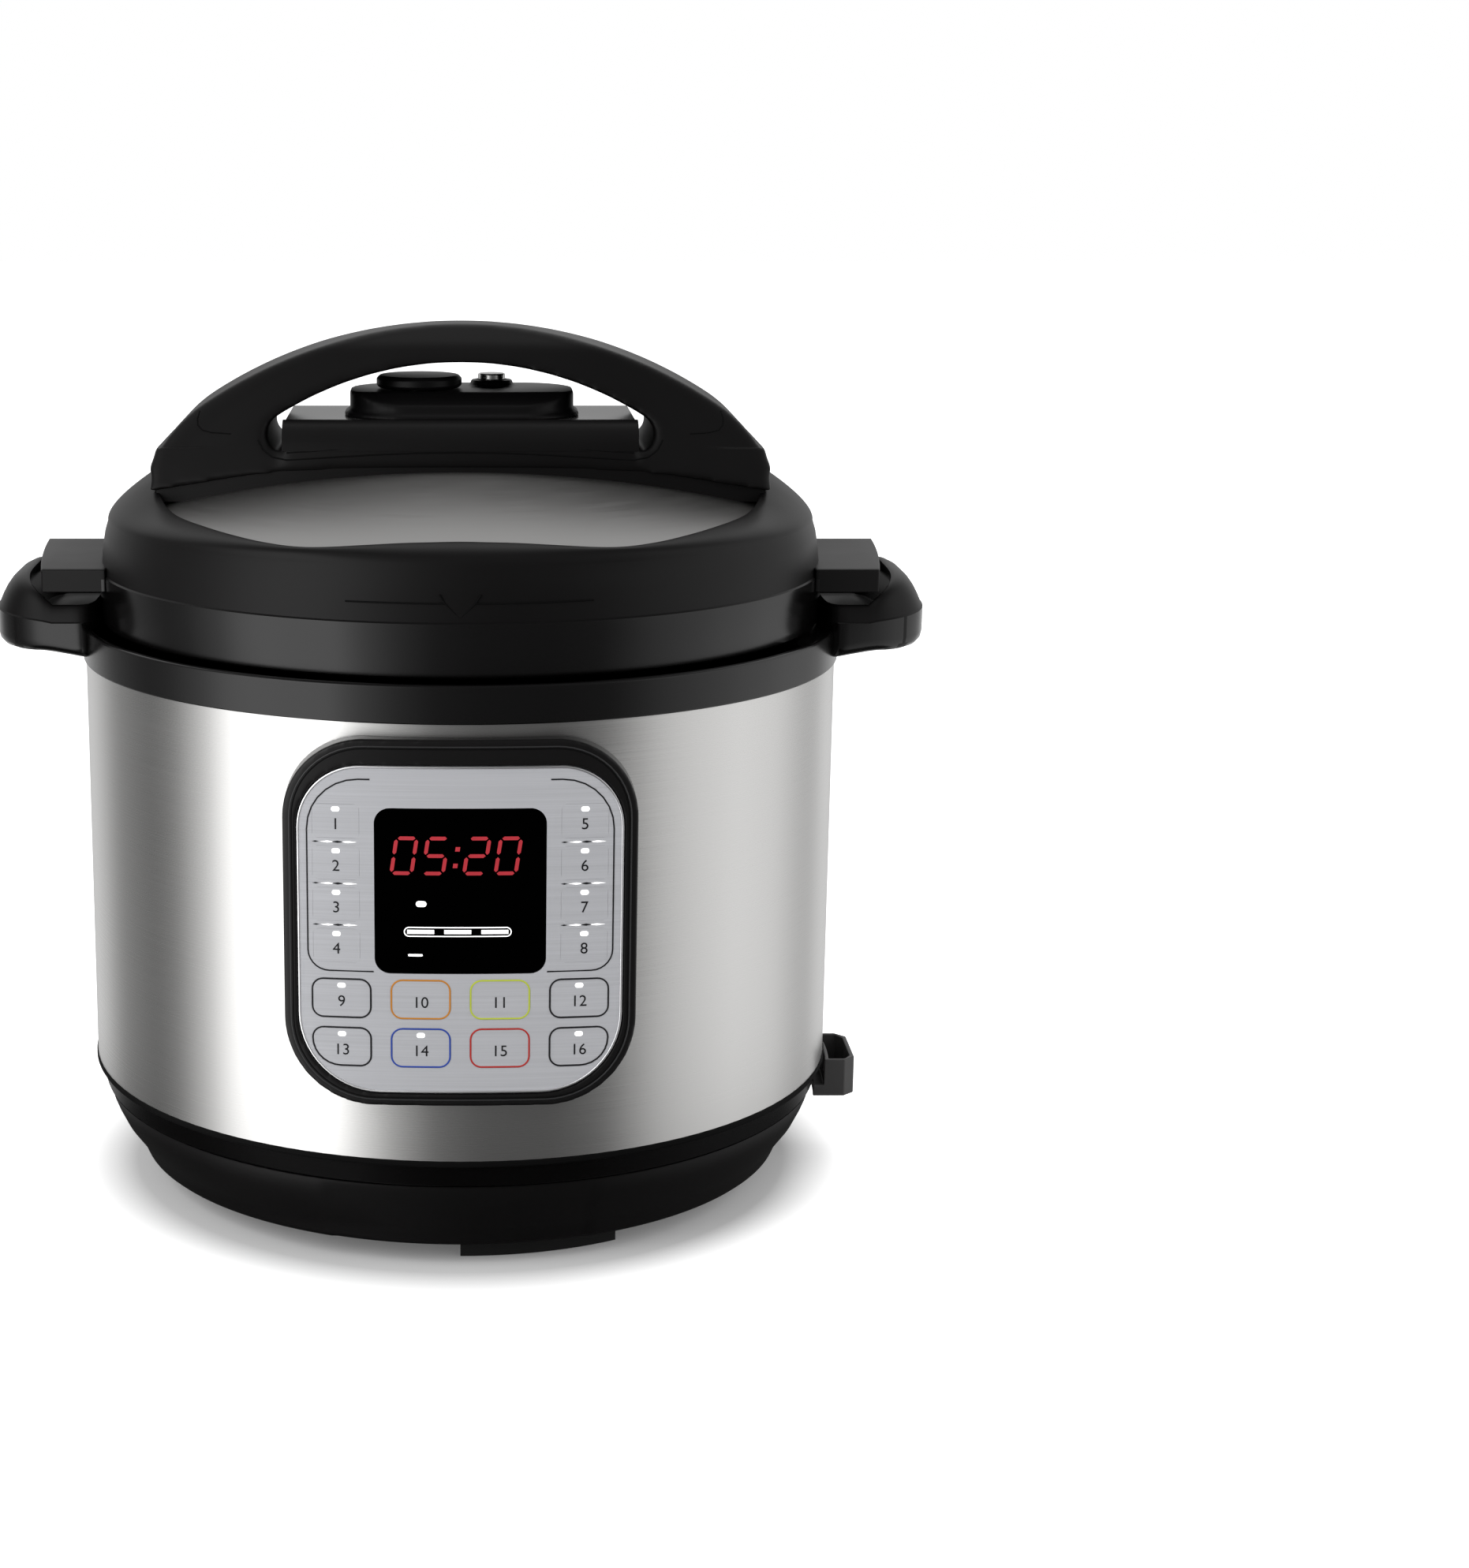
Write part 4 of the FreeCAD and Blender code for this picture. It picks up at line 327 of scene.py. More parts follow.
def all_finishes(colours):
    """A finish for each material slot of the part, and for the print and trim that are added to it."""
    around = lambda finish: finish.ringed(1.6, finish.split()["Z"], 5200.0)
    turned = lambda finish: finish.ringed(2.4, finish.distance((1.0, 1.0, 0.0)), 3600.0)
    return {
        "satin_black_plastic": moulded_plastic("Satin black plastic", colours.plastic, 0.42, 0.17),
        "bezel_plastic": moulded_plastic("Bezel plastic", colours.bezel, 0.30, 0.24),
        "knob_plastic": moulded_plastic("Valve plastic", colours.knob, 0.38, 0.16),
        "switch_plastic": moulded_plastic("Switch plastic", (0.02, 0.02, 0.022), 0.45),
        "display_board": moulded_plastic("Display block", (0.016, 0.016, 0.018), 0.5),
        "smooth_plastic": moulded_plastic("Smooth black plastic", (0.0022, 0.0020, 0.0021), 0.19, 0.46),
        "base_plastic": moulded_plastic("Base plastic", (0.0050, 0.0046, 0.0048), 0.42, 0.3),
        "cup_plastic": moulded_plastic("Cup plastic", (0.045, 0.044, 0.044), 0.36, 0.4),
        # A lighter plastic that paints a highlight line on the bezel.
        "painted_sheen": moulded_plastic("Bezel edge sheen", (0.03, 0.03, 0.031), 0.3, grain=0.4),
        "brushed_shell_steel": brushed_steel("Brushed shell steel", colours.shell, 0.30, around, 0.75),
        "dome_steel": brushed_steel("Turned dome steel", colours.dome, 0.34, turned, 0.35),
        "pot_steel": brushed_steel("Brushed pot steel", colours.pan, 0.26, around, 0.6),
        "pan_steel": satin_steel("Pressed pan steel", colours.pan, 0.28),
        "hardware_steel": satin_steel("Hardware steel", (0.55, 0.55, 0.54), 0.32),
        "valve_steel": satin_steel("Valve steel", (0.62, 0.62, 0.61), 0.22),
        "spring_steel": satin_steel("Spring steel", (0.42, 0.42, 0.43), 0.3),
        "pin_brass": satin_steel("Pin brass", (0.66, 0.50, 0.24), 0.25),
        # A near-white metal that paints the highlight along the plate's edge.
        "painted_edge_highlight": satin_steel("Bright edge", (0.95, 0.95, 0.97), 0.35),
        "panel_silver": brushed_silver("Brushed panel silver", colours.panel),
        "key_silver": brushed_silver("Brushed key silver", colours.panel),
        "display_glass": smoked_glass("Smoked display glass", colours.glass, 0.0),
        "wet_plastic": smoked_glass("Glossy tray floor", (0.05, 0.05, 0.05), 1.0),
        "circuit_board": printed_board("Circuit board", (0.012, 0.10, 0.035)),
        "cast_aluminium": cast_metal("Cast aluminium", (0.52, 0.53, 0.54), 0.48),
        "seal_silicone": soft_rubber("Seal silicone", (0.62, 0.62, 0.60), 0.45, 0.4),
        "foot_rubber": soft_rubber("Foot rubber", (0.012, 0.012, 0.012), 0.72),
        # A near-black finish that paints the shade in grooves, seams and cut lines.
        "groove": soft_rubber("Groove shadow", (0.0022, 0.0022, 0.0022), 0.8, 0.1),
        "ink_black": soft_rubber("Black ink", (0.012, 0.012, 0.014), 0.5, 0.2),
        "ink_orange": soft_rubber("Orange ink", (0.55, 0.22, 0.03), 0.5, 0.2),
        "ink_green": soft_rubber("Yellow green ink", (0.50, 0.58, 0.06), 0.5, 0.2),
        "ink_blue": soft_rubber("Blue ink", (0.03, 0.07, 0.36), 0.5, 0.2),
        "ink_red": soft_rubber("Red ink", (0.45, 0.03, 0.025), 0.5, 0.2),
        "lamp_white": glowing("Lit lamp", (1.0, 1.0, 1.0), 0.75),
        "digit_red": glowing("Lit digit", (0.36, 0.016, 0.026), 0.45),
    }


# ---- modelling helpers
AROUND = 360  # points round a lathed ring
BACKWARDS = Vector((0, 1, 0))  # away from the panel's front
FLAT = 0.6  # degrees: faces that lean less than this are one flat face
SHARP = 32.0  # degrees: edges sharper than this are rounded


def select_only(piece):
    """That object alone is selected and active."""
    bpy.ops.object.select_all(action="DESELECT")
    piece.select_set(True)
    bpy.context.view_layer.objects.active = piece


class WholeMesh:
    """Edit mode with the whole of the active mesh selected, and object mode again after it."""

    def __enter__(self):
        bpy.ops.object.mode_set(mode="EDIT")
        bpy.ops.mesh.select_all(action="SELECT")

    def __exit__(self, *problem):
        bpy.ops.object.mode_set(mode="OBJECT")


def select_where(piece, kind, test):
    """In edit mode, selects only the edges or faces whose middle passes the test."""
    bpy.ops.mesh.select_mode(type=kind)
    bpy.ops.mesh.select_all(action="DESELECT")
    mesh = bmesh.from_edit_mesh(piece.data)
    for part in mesh.faces if kind == "FACE" else mesh.edges:
        part.select_set(test(sum((vertex.co for vertex in part.verts), Vector()) / len(part.verts)))
    mesh.select_flush(True)
    bmesh.update_edit_mesh(piece.data)


def smooth(degrees):
    """The selected piece's faces blend wherever they meet at less than that."""
    bpy.ops.object.shade_smooth_by_angle(angle=math.radians(degrees))


def started(name, primitive, **settings):
    """A new primitive of that name, with nothing else selected."""
    bpy.ops.object.select_all(action="DESELECT")
    primitive(**settings)
    piece = bpy.context.object
    piece.name = name
    return piece


def placed(name, data):
    """A new object with that data, alone selected and active."""
    piece = bpy.data.objects.new(name, data)
    bpy.context.scene.collection.objects.link(piece)
    select_only(piece)
    return piece


def block(name, low, high):
    """A cube primitive stretched between two corners."""
    low, high = Vector(low), Vector(high)
    piece = started(name, bpy.ops.mesh.primitive_cube_add, size=1.0, location=(low + high) / 2)
    piece.scale = high - low
    bpy.ops.object.transform_apply(location=True, rotation=True, scale=True)
    return piece


def put_on_side(piece, mesh, side):
    """Mirrors the mesh in edit mode where the side is -1, and leaves edit mode."""
    for vertex in mesh.verts:
        vertex.co.x *= side
    if side < 0:
        bmesh.ops.reverse_faces(mesh, faces=mesh.faces)
    bmesh.update_edit_mesh(piece.data)
    bpy.ops.object.mode_set(mode="OBJECT")
    return piece


def lathed(name, rings):
    """Rings round Z by radius and height in millimetres, each drawn up from the last, as an open skin."""
    (radius, height), *others = [(ring[0] / 1000, ring[1] / 1000) for ring in rings]
    bpy.context.scene.tool_settings.mesh_select_mode = (True, False, False)
    piece = started(name, bpy.ops.mesh.primitive_circle_add, vertices=AROUND, radius=radius,
                    location=(0, 0, height))
    bpy.ops.object.transform_apply(location=True)
    with WholeMesh():
        for next_radius, next_height in others:
            bpy.ops.mesh.extrude_region_move(TRANSFORM_OT_translate={"value": (0, 0, next_height - height)})
            grow = next_radius / radius
            bpy.ops.transform.resize(value=(grow, grow, 1.0), center_override=(0, 0, next_height))
            radius, height = next_radius, next_height
    return piece


def face_out(piece):
    """Turns the faces of a lathed skin away from Z."""
    with WholeMesh():
        bpy.ops.mesh.normals_make_consistent(inside=False)
    first = piece.data.polygons[0]
    if first.normal.xy.dot(first.center.xy) < 0:
        piece.data.flip_normals()


def lofted(name, loops):
    """Closed loops of as many points each, in millimetres, each drawn out of the last; both ends filled."""
    count, rise = len(loops[0]), 0.001
    piece = started(name, bpy.ops.mesh.primitive_circle_add, vertices=count, radius=0.01, fill_type="NGON")
    with WholeMesh():
        for _ in loops[1:]:
            bpy.ops.mesh.extrude_region_move(TRANSFORM_OT_translate={"value": (0, 0, rise)})
    for vertex in piece.data.vertices:
        turn = math.atan2(vertex.co.y, vertex.co.x) / math.tau
        vertex.co = Vector(loops[round(vertex.co.z / rise)][round(turn * count) % count]) / 1000
    with WholeMesh():
        bpy.ops.mesh.normals_make_consistent(inside=False)
    smooth(34)
    return piece


def joined(name, first, *others):
    """The pieces as one object of that name."""
    select_only(first)
    for other in others:
        other.select_set(True)
    if others:
        bpy.ops.object.join()
    first.name = name
    return first


def wire(name, points, radius, closed=False):
    """A thin round bead along those points, as a mesh."""
    curve = bpy.data.curves.new(name, "CURVE")
    curve.dimensions = "3D"
    curve.bevel_depth = radius
    curve.bevel_resolution = 2
    curve.use_fill_caps = True
    line = curve.splines.new("POLY")
    line.points.add(len(points) - 1)
    for spot, place in zip(line.points, points):
        spot.co = (*place, 1.0)
    line.use_cyclic_u = closed
    placed(name, curve)
    bpy.ops.object.convert(target="MESH")
    bpy.ops.object.shade_smooth()
    return bpy.context.object


def laid(piece, points, sink):
    """Those points moved straight back onto the piece, and then sunk into it."""
    found = []
    for point in points:
        hit, place, _, _ = piece.ray_cast(Vector(point) - BACKWARDS * 0.1, BACKWARDS)
        if not hit:
            raise RuntimeError(f"{piece.name} has no surface at {tuple(point)}")
        found.append(place + BACKWARDS * sink)
    return found


def along(table, degrees):
    """The row of the table at that angle from the front, eased over a few degrees; both halves mirror."""
    total = [0.0] * (len(table[0]) - 1)
    steps = (-2.4, -1.2, 0.0, 1.2, 2.4)
    for step in steps:
        at = abs((degrees + step + 180.0) % 360.0 - 180.0)
        at = min(at, 180.0 - at)
        for low, high in zip(table, table[1:]):
            if low[0] <= at <= high[0]:
                part = (at - low[0]) / (high[0] - low[0])
                for n in range(len(total)):
                    total[n] += (low[n + 1] + (high[n + 1] - low[n + 1]) * part) / len(steps)
                break
    return total


def modify(piece, kind, **settings):
    """Adds a modifier and applies it."""
    select_only(piece)
    modifier = piece.modifiers.new(kind.title(), kind)
    for name, value in settings.items():
        setattr(modifier, name, value)
    bpy.ops.object.modifier_apply(modifier=modifier.name)


def finished(piece, finish):
    """The piece, with that finish alone."""
    piece.data.materials.clear()
    piece.data.materials.append(FINISHES[finish])
    return piece


def trim(piece, body, finish):
    """A new piece that rides on that body, with that finish."""
    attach(piece, body)
    finished(piece, finish)


def stands_for(piece, node):
    """The piece replaces that node, rides on its body and takes its slot's finish."""
    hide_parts(node)
    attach(piece, BODY_OF[node])
    return finished(piece, SLOT_OF[node])


def refinish(piece, name, where=lambda place: True):
    """Gives another finish to the faces whose middles pass that test."""
    piece.data.materials.append(FINISHES[name])
    for face in piece.data.polygons:
        if where(face.center):
            face.material_index = len(piece.data.materials) - 1


def copied(node, name):
    """A merged copy of a CAD node's mesh, to be worked on."""
    piece = placed(name, NODES[node].data.copy())
    with WholeMesh():
        bpy.ops.mesh.remove_doubles(threshold=1e-6)
        bpy.ops.mesh.customdata_custom_splitnormals_clear()
    return piece


def rounded(node, width):
    """A copy of that node in its place: flat faces joined, every sharp edge rounded, and the rest smooth."""
    piece = copied(node, node + "_body")
    with WholeMesh():
        bpy.ops.mesh.dissolve_limited(angle_limit=math.radians(FLAT))
        bpy.ops.mesh.tris_convert_to_quads(face_threshold=math.radians(25), shape_threshold=math.radians(40))
    bpy.ops.object.shade_smooth()
    modify(piece, "BEVEL", width=width, segments=3, limit_method="ANGLE", angle_limit=math.radians(SHARP),
           use_clamp_overlap=False, harden_normals=True, miter_outer="MITER_ARC")
    return stands_for(piece, node)


def moulded(name, nodes, voxel, rounds, extra=()):
    """One soft moulding in the shape of those nodes: a skin over their copies, eased by so many rounds."""
    piece = joined(name, *[copied(node, name) for node in nodes], *extra)
    modify(piece, "REMESH", mode="VOXEL", voxel_size=voxel, use_smooth_shade=True)
    modify(piece, "SMOOTH", factor=0.5, iterations=rounds)
    for node in nodes:
        stands_for(piece, node)
    return piece


# ---- stage
# Brightness round the tent's wall: degrees from the front, to the right, and its level.
TENT_LEVELS = (
    (-180, 0.29), (-155, 0.30), (-126, 0.78), (-112, 0.66), (-98, 0.30), (-80, 0.17), (-71, 0.28),
    (-60, 0.85), (-53, 1.7), (-47, 2.0), (-28, 2.0), (-22, 1.1), (-14, 0.50), (-6, 0.20), (4, 0.13),
    (20, 0.12), (32, 0.16), (38, 0.32), (46, 0.60), (56, 0.80), (68, 0.98), (84, 0.90), (98, 0.60),
    (106, 0.56), (114, 0.76), (126, 0.78), (155, 0.30), (180, 0.29))
TENT_STRENGTH = 2.0  # the brightest level, which the ramp's colours are shares of
TENT_GLOOM = 0.12  # strength under the floor
TENT_FOOT = (-0.07, -0.005)  # heights between which the strength rises
TENT_HEAD = (0.11, 0.03)  # depths under the tent's top between which the wall passes into the ceiling
CEILING_EDGE = (-0.07, 0.02)  # places along Y between which the ceiling passes from front to rear

# Each light's name, its place, and its size across and up.
LAMPS = (("key", (-1.15, -1.05, 1.15), (0.9, 1.3)), ("fill", (1.35, -0.75, 0.95), (0.9, 1.2)),
         ("top", (0.1, 0.35, 1.9), (1.7, 1.3)))
LAMP_AIM = Vector((0, 0, 0.12))

FLOOR_SIZE = 14.0
FLOOR_HEIGHT = -0.0003
FLOOR_GREY = (0.86, 0.86, 0.86)
# Painted shade: the camera sees the floor glow less under the cooker, and where that glow grows it paints the
# edge of the cooker's shadow.
FLOOR_GLOW = (0.10, 0.95)  # what the camera sees the floor glow by, under the cooker and away from it
FLOOR_SHADOW_EDGE = (0.124, 0.155)  # distances between which that glow grows


class COOKER_OT_stage(bpy.types.Operator):
    """Makes the floor, the tent that the steel reflects, the lights and the camera"""

    bl_idname = "cooker.stage"
    bl_label = "Stage"

    def execute(self, context):
        stage = context.scene.cooker_stage
        self.world(context, stage)
        self.floor()
        self.tent(stage)
        for name, place, size in LAMPS:
            self.lamp(name + "_light", getattr(stage, name), Vector(place), size)
        bpy.ops.object.camera_add(location=(0.0, -stage.camera_distance, stage.camera_height),
                                  rotation=(stage.camera_tilt, 0, 0))
        camera = context.object
        camera.data.lens = stage.lens
        camera.data.sensor_width = 36.0
        camera.data.shift_x = stage.frame_across
        camera.data.shift_y = stage.frame_up
        context.scene.camera = camera
        context.scene.view_settings.view_transform = "Standard"
        return {"FINISHED"}

    def world(self, context, stage):
        """An even sky: white to the camera and in reflections, and plain light to all else."""
        world = bpy.data.worlds.new("Studio")
        context.scene.world = world
        world.use_nodes = True
        tree = world.node_tree
        back = tree.nodes["Background"]
        back.inputs["Color"].default_value = (1.0, 1.0, 1.0, 1.0)
        path = tree.nodes.new("ShaderNodeLightPath")
        seen = path.outputs["Is Camera Ray"]
        for other in ("Is Glossy Ray", "Is Transmission Ray"):
            larger = tree.nodes.new("ShaderNodeMath")
            larger.operation = "MAXIMUM"
            tree.links.new(seen, larger.inputs[0])
            tree.links.new(path.outputs[other], larger.inputs[1])
            seen = larger.outputs[0]
        level = tree.nodes.new("ShaderNodeMapRange")
        level.inputs["To Min"].default_value = stage.sky
        level.inputs["To Max"].default_value = 1.0
        tree.links.new(seen, level.inputs["Value"])
        tree.links.new(level.outputs["Result"], back.inputs["Strength"])

    def floor(self):
        """A pale floor that keeps the cooker's shadow, and glows to white away from it; the glow is kept low
        under the cooker, which paints shade round the real shadow's edge.
        """
        floor = started("floor", bpy.ops.mesh.primitive_plane_add, size=FLOOR_SIZE,
                        location=(0.0, 0.0, FLOOR_HEIGHT))
        bpy.ops.object.transform_apply(location=True)
        finish = Finish("Pale studio floor")
        path = finish.add("ShaderNodeLightPath")
        # The camera-only glow grows with distance from the cooker, painting shade round its shadow.
        shadow_edge_glow = finish.between(finish.distance(), *FLOOR_GLOW, *FLOOR_SHADOW_EDGE)
        finish.surface(Base_Color=finish.shade(finish.noise(1.5, 2.0), FLOOR_GREY, 0.01), Roughness=0.9,
                       Specular_IOR_Level=0.0, Emission_Color=(1.0, 1.0, 1.0, 1.0),
                       Emission_Strength=finish.math("MULTIPLY", path.outputs["Is Camera Ray"], shadow_edge_glow))
        floor.data.materials.append(finish.material)
        floor.visible_glossy = False

    def tent(self, stage):
        """A tent that only reflections see: pale cloth at both sides, grey in front, behind and overhead."""
        tent = started("tent", bpy.ops.mesh.primitive_cylinder_add, vertices=96, radius=stage.tent_radius,
                       depth=2 * stage.tent_height, end_fill_type="NGON", location=(0, 0, 0))
        bpy.ops.object.transform_apply(location=True)
        finish = Finish("Tent cloth")
        place = finish.split()
        ramp = finish.add("ShaderNodeValToRGB",
                          {"Fac": finish.between(finish.turn(), 0.0, 1.0, -math.pi, math.pi)})
        marks = ramp.color_ramp.elements
        while len(marks) < len(TENT_LEVELS):
            marks.new(0.5)
        for mark, (degrees, level) in zip(marks, TENT_LEVELS):
            mark.position = (degrees + 180.0) / 360.0
            mark.color = (*[level / TENT_STRENGTH] * 3, 1.0)
        head = [stage.tent_height - depth for depth in TENT_HEAD]
        high = finish.between(place["Z"], 0.0, 1.0, *head)
        top = finish.between(place["Y"], stage.ceiling_front / TENT_STRENGTH, stage.ceiling / TENT_STRENGTH,
                             *CEILING_EDGE)
        low = finish.between(place["Z"], TENT_GLOOM, TENT_STRENGTH, *TENT_FOOT)
        glow = finish.add("ShaderNodeEmission",
                          {"Color": finish.mix(high, ramp.outputs["Color"], top), "Strength": low})
        output = finish.tree.nodes["Material Output"]
        finish.tree.links.new(glow.outputs["Emission"], output.inputs["Surface"])
        tent.data.materials.append(finish.material)
        tent.visible_camera = tent.visible_diffuse = tent.visible_shadow = False
        tent.visible_transmission = False

    def lamp(self, name, power, place, size):
        bpy.ops.object.light_add(type="AREA", location=place)
        lamp = bpy.context.object
        lamp.name = name
        lamp.data.energy = power
        lamp.data.shape = "RECTANGLE"
        lamp.data.size, lamp.data.size_y = size
        lamp.rotation_euler = (LAMP_AIM - place).to_track_quat("-Z", "Y").to_euler()
        lamp.visible_camera = False


class COOKER_OT_finishes(bpy.types.Operator):
    """Gives every CAD node its finish"""

    bl_idname = "cooker.finishes"
    bl_label = "Finishes"

    def execute(self, context):
        FINISHES.update(all_finishes(context.scene.cooker_colours))
        for name, node in NODES.items():
            for slot in node.material_slots:
                slot.material = FINISHES[SLOT_OF[name]]
        return {"FINISHED"}


# ---- mouldings
KEY_GROWTH = 0.0002  # how far each key's face reaches past its CAD side
CUP_MOVE = (0, -0.004, -0.0035)
BAND_FOOT, BAND_HEAD = 0.0345, 0.0440  # heights of the base's band, whose outside tapers
BAND_INNER = 0.1352  # its inner radius
BAND_TOP, BAND_TAPER = 0.0445, 0.018 / 0.0092  # where the taper starts, and the share lost per metre down
GLOSS_FOOT, GLOSS_HEAD = 0.0352, 0.0450  # heights of the band's glossy face


class COOKER_OT_mouldings(bpy.types.Operator):
    """Models the knob, rim, housing, keys, sensor spring, cup, valve deck and bezel from their CAD nodes"""

    bl_idname = "cooker.mouldings"
    bl_label = "Mouldings"

    def execute(self, context):
        rounded("steam_release_knob", 0.0004)
        refinish(rounded("top_rim", 0.0006), "smooth_plastic")
        housing = rounded("base_housing", 0.0008)
        for vertex in housing.data.vertices:
            if BAND_FOOT < vertex.co.z < BAND_HEAD and vertex.co.xy.length > BAND_INNER:
                vertex.co.xy *= 1 - BAND_TAPER * (BAND_TOP - vertex.co.z)
        refinish(housing, "smooth_plastic", lambda place: GLOSS_FOOT < place.z < GLOSS_HEAD)
        for number in range(1, 17):
            self.key(f"key_{number:02d}")
        spring = stands_for(copied("sensor_spring", "sensor_spring_body"), "sensor_spring")
        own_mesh(spring)
        cup = rounded("condensation_cup", 0.0005)
        with WholeMesh():
            bpy.ops.transform.translate(value=CUP_MOVE)
        cup.name = "cup_body"
        refinish(cup, "cup_plastic")
        moulded("valve_deck", ["valve_platform"], 0.0007, 10)
        moulded("bezel", ["panel_frame"], 0.0006, 10)
        return {"FINISHED"}

    def key(self, node):
        """A copy of the key, grown to just inside its hole."""
        piece = copied(node, node + "_cap")
        low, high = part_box(node)
        half = (high - low) / 2
        grow = Vector(((half.x + KEY_GROWTH) / half.x, 1.0, (half.z + KEY_GROWTH) / half.z))
        with WholeMesh():
            bpy.ops.transform.resize(value=grow, center_override=(low + high) / 2)
        smooth(30)
        stands_for(piece, node)


# ---- carrying handles
# The handle on the right, in millimetres. A plan is its reach outwards and towards the pot from GRIP_CENTRE,
# its half length, and how square its outer end is.
GRIP_CENTRE = 146.0
GRIP_POINTS = 96
INNER_SQUARENESS = 7.0
WALL_PLAN = (23.5, 15.0, 40.0, 2.7)
SHOULDER_PLAN = (22.95, 14.8, 39.45, 2.7)
TROUGH_PLAN = (11.4, 14.4, 36.2, 3.2)
UNDERSIDE = ((8.0, 1.0), (4.2, 0.0), (1.8, 1.0), (0.5, 2.6), (0.0, 4.8))  # inset, and rise over the underside
UPPER_EDGE = ((0.0, -0.25), (0.25, 0.0), (0.55, 0.25))  # inset, and rise over the wall's edge
SHOULDER_PARTS = (0.12, 0.26, 0.42, 0.6, 0.8, 0.93, 1.0)
TROUGH_WALL = ((0.7, 0.3), (1.1, 1.5), (1.3, 99.0), (2.4, 100.0))  # inset, and drop from the crest
TROUGH_FLOOR = 210.0
FLOOR_EDGE = 0.6  # height of the floor's edge over its middle
EDGE = (212.2, 3.0)  # height of the wall's edge, and how much more it has at the outer end
CREST = (218.2, 9.2)  # the same for the shoulder's crest
OPEN_CREST = 211.4  # height of the crest at the rear
UNDERSIDE_HEIGHT = 201.6
# In metres: the outer wall reaches up to GLOSS_TOP, and lies outside the trough's half length and outer end.
GLOSS_TOP, TROUGH_HALF, TROUGH_END = 0.2122, 0.0365, 0.160


def plan(turn, shape, inset=0.0):
    """A point of the handle's plan: rounded outside the centre line and nearly square towards the pot."""
    outer, inner, half, squareness = shape
    across = outer - inset
    if math.cos(turn) <= 0:
        across, squareness = inner - inset * 0.3, INNER_SQUARENESS
    x = GRIP_CENTRE + across * math.copysign(abs(math.cos(turn)) ** (2 / squareness), math.cos(turn))
    return x, (half - inset) * math.copysign(abs(math.sin(turn)) ** (2 / squareness), math.sin(turn))


def outer_swell(turn, height, rise):
    """A height that grows towards the handle's outer end."""
    return height + rise * max(0.0, math.cos(turn)) ** 0.55


class COOKER_OT_carrying_handles(bpy.types.Operator):
    """Models the two carrying handles: rounded end, raised shoulder, and the trough that an ear turns in"""

    bl_idname = "cooker.carrying_handles"
    bl_label = "Carrying handles"

    def execute(self, context):
        turns = [math.tau * n / GRIP_POINTS for n in range(GRIP_POINTS)]
        loops = [[shape(turn, *step) for turn in turns]
                 for shape, steps in ((self.underside, UNDERSIDE), (self.upper_edge, UPPER_EDGE),
                                      (self.shoulder, [(part,) for part in SHOULDER_PARTS]),
                                      (self.trough, TROUGH_WALL))
                 for step in steps]
        for side, node in ((1, "side_handle_right"), (-1, "side_handle_left")):
            mirrored = [[(x * side, y, z) for x, y, z in loop] for loop in loops]
            handle = stands_for(lofted("carrying_" + node[5:], mirrored), node)
            refinish(handle, "smooth_plastic", self.on_wall)
        return {"FINISHED"}

    def on_wall(self, place):
        """Whether that place is on the handle's outer wall, and not in its trough."""
        return place.z < GLOSS_TOP and (abs(place.y) > TROUGH_HALF or abs(place.x) > TROUGH_END)

    def underside(self, turn, inset, rise):
        """Lower towards the pot."""
        x, y = plan(turn, WALL_PLAN, inset)
        return x, y, UNDERSIDE_HEIGHT - 3.8 * (max(0.0, 150.0 - x) / 20.0) ** 1.3 + rise

    def upper_edge(self, turn, inset, rise):
        return (*plan(turn, WALL_PLAN, inset), outer_swell(turn, *EDGE) + rise)

    def crest(self, turn):
        """Height of the shoulder's crest: high outside, lower in front, open to the rear."""
        height = outer_swell(turn, *CREST)
        part = min(1.0, max(0.0, (math.sin(turn) - 0.78) / 0.2))
        return height + (OPEN_CREST - height) * part * part * (3 - 2 * part)

    def shoulder(self, turn, part):
        low, high = plan(turn, SHOULDER_PLAN), plan(turn, TROUGH_PLAN)
        foot = outer_swell(turn, *EDGE) + UPPER_EDGE[-1][1]
        height = foot + (self.crest(turn) - foot) * (1 - (1 - part) ** 2.4)
        return (*[start + (end - start) * part for start, end in zip(low, high)], height)

    def trough(self, turn, inset, drop):
        floor = TROUGH_FLOOR + (FLOOR_EDGE if drop < TROUGH_WALL[-1][1] else 0.0)
        return (*plan(turn, TROUGH_PLAN, inset), max(self.crest(turn) - drop, floor))


# ---- base skirt
# The base's skin, in millimetres: radius and height, from under the band down to the floor plate.
BELLY_RINGS = ((133.6, 35.6), (133.5, 34.6), (133.3, 33.2), (132.2, 30.5), (131.0, 27.5), (128.4, 22.2),
               (124.0, 16.2), (121.8, 12.6), (120.9, 10.2), (120.4, 9.1), (119.2, 8.1), (113.0, 6.4))
# The ring of painted shade in the seam under the steel, likewise.
SEAM_SHADE_RINGS = ((137.2, 43.6), (138.05, 43.7), (138.25, 44.1), (138.25, 45.3), (137.8, 45.6))
PANEL_FOOT, PANEL_HEAD = 8.0, 31.0  # millimetres: heights of the belly's raised panels
PANEL_GAP = 21.0  # degrees from the front and from the rear that have none
PANEL_SWELL = 1.0055  # how much wider the skin is at a panel
INLET_HALF = 0.019  # half of the gap that the inlet takes at the rear


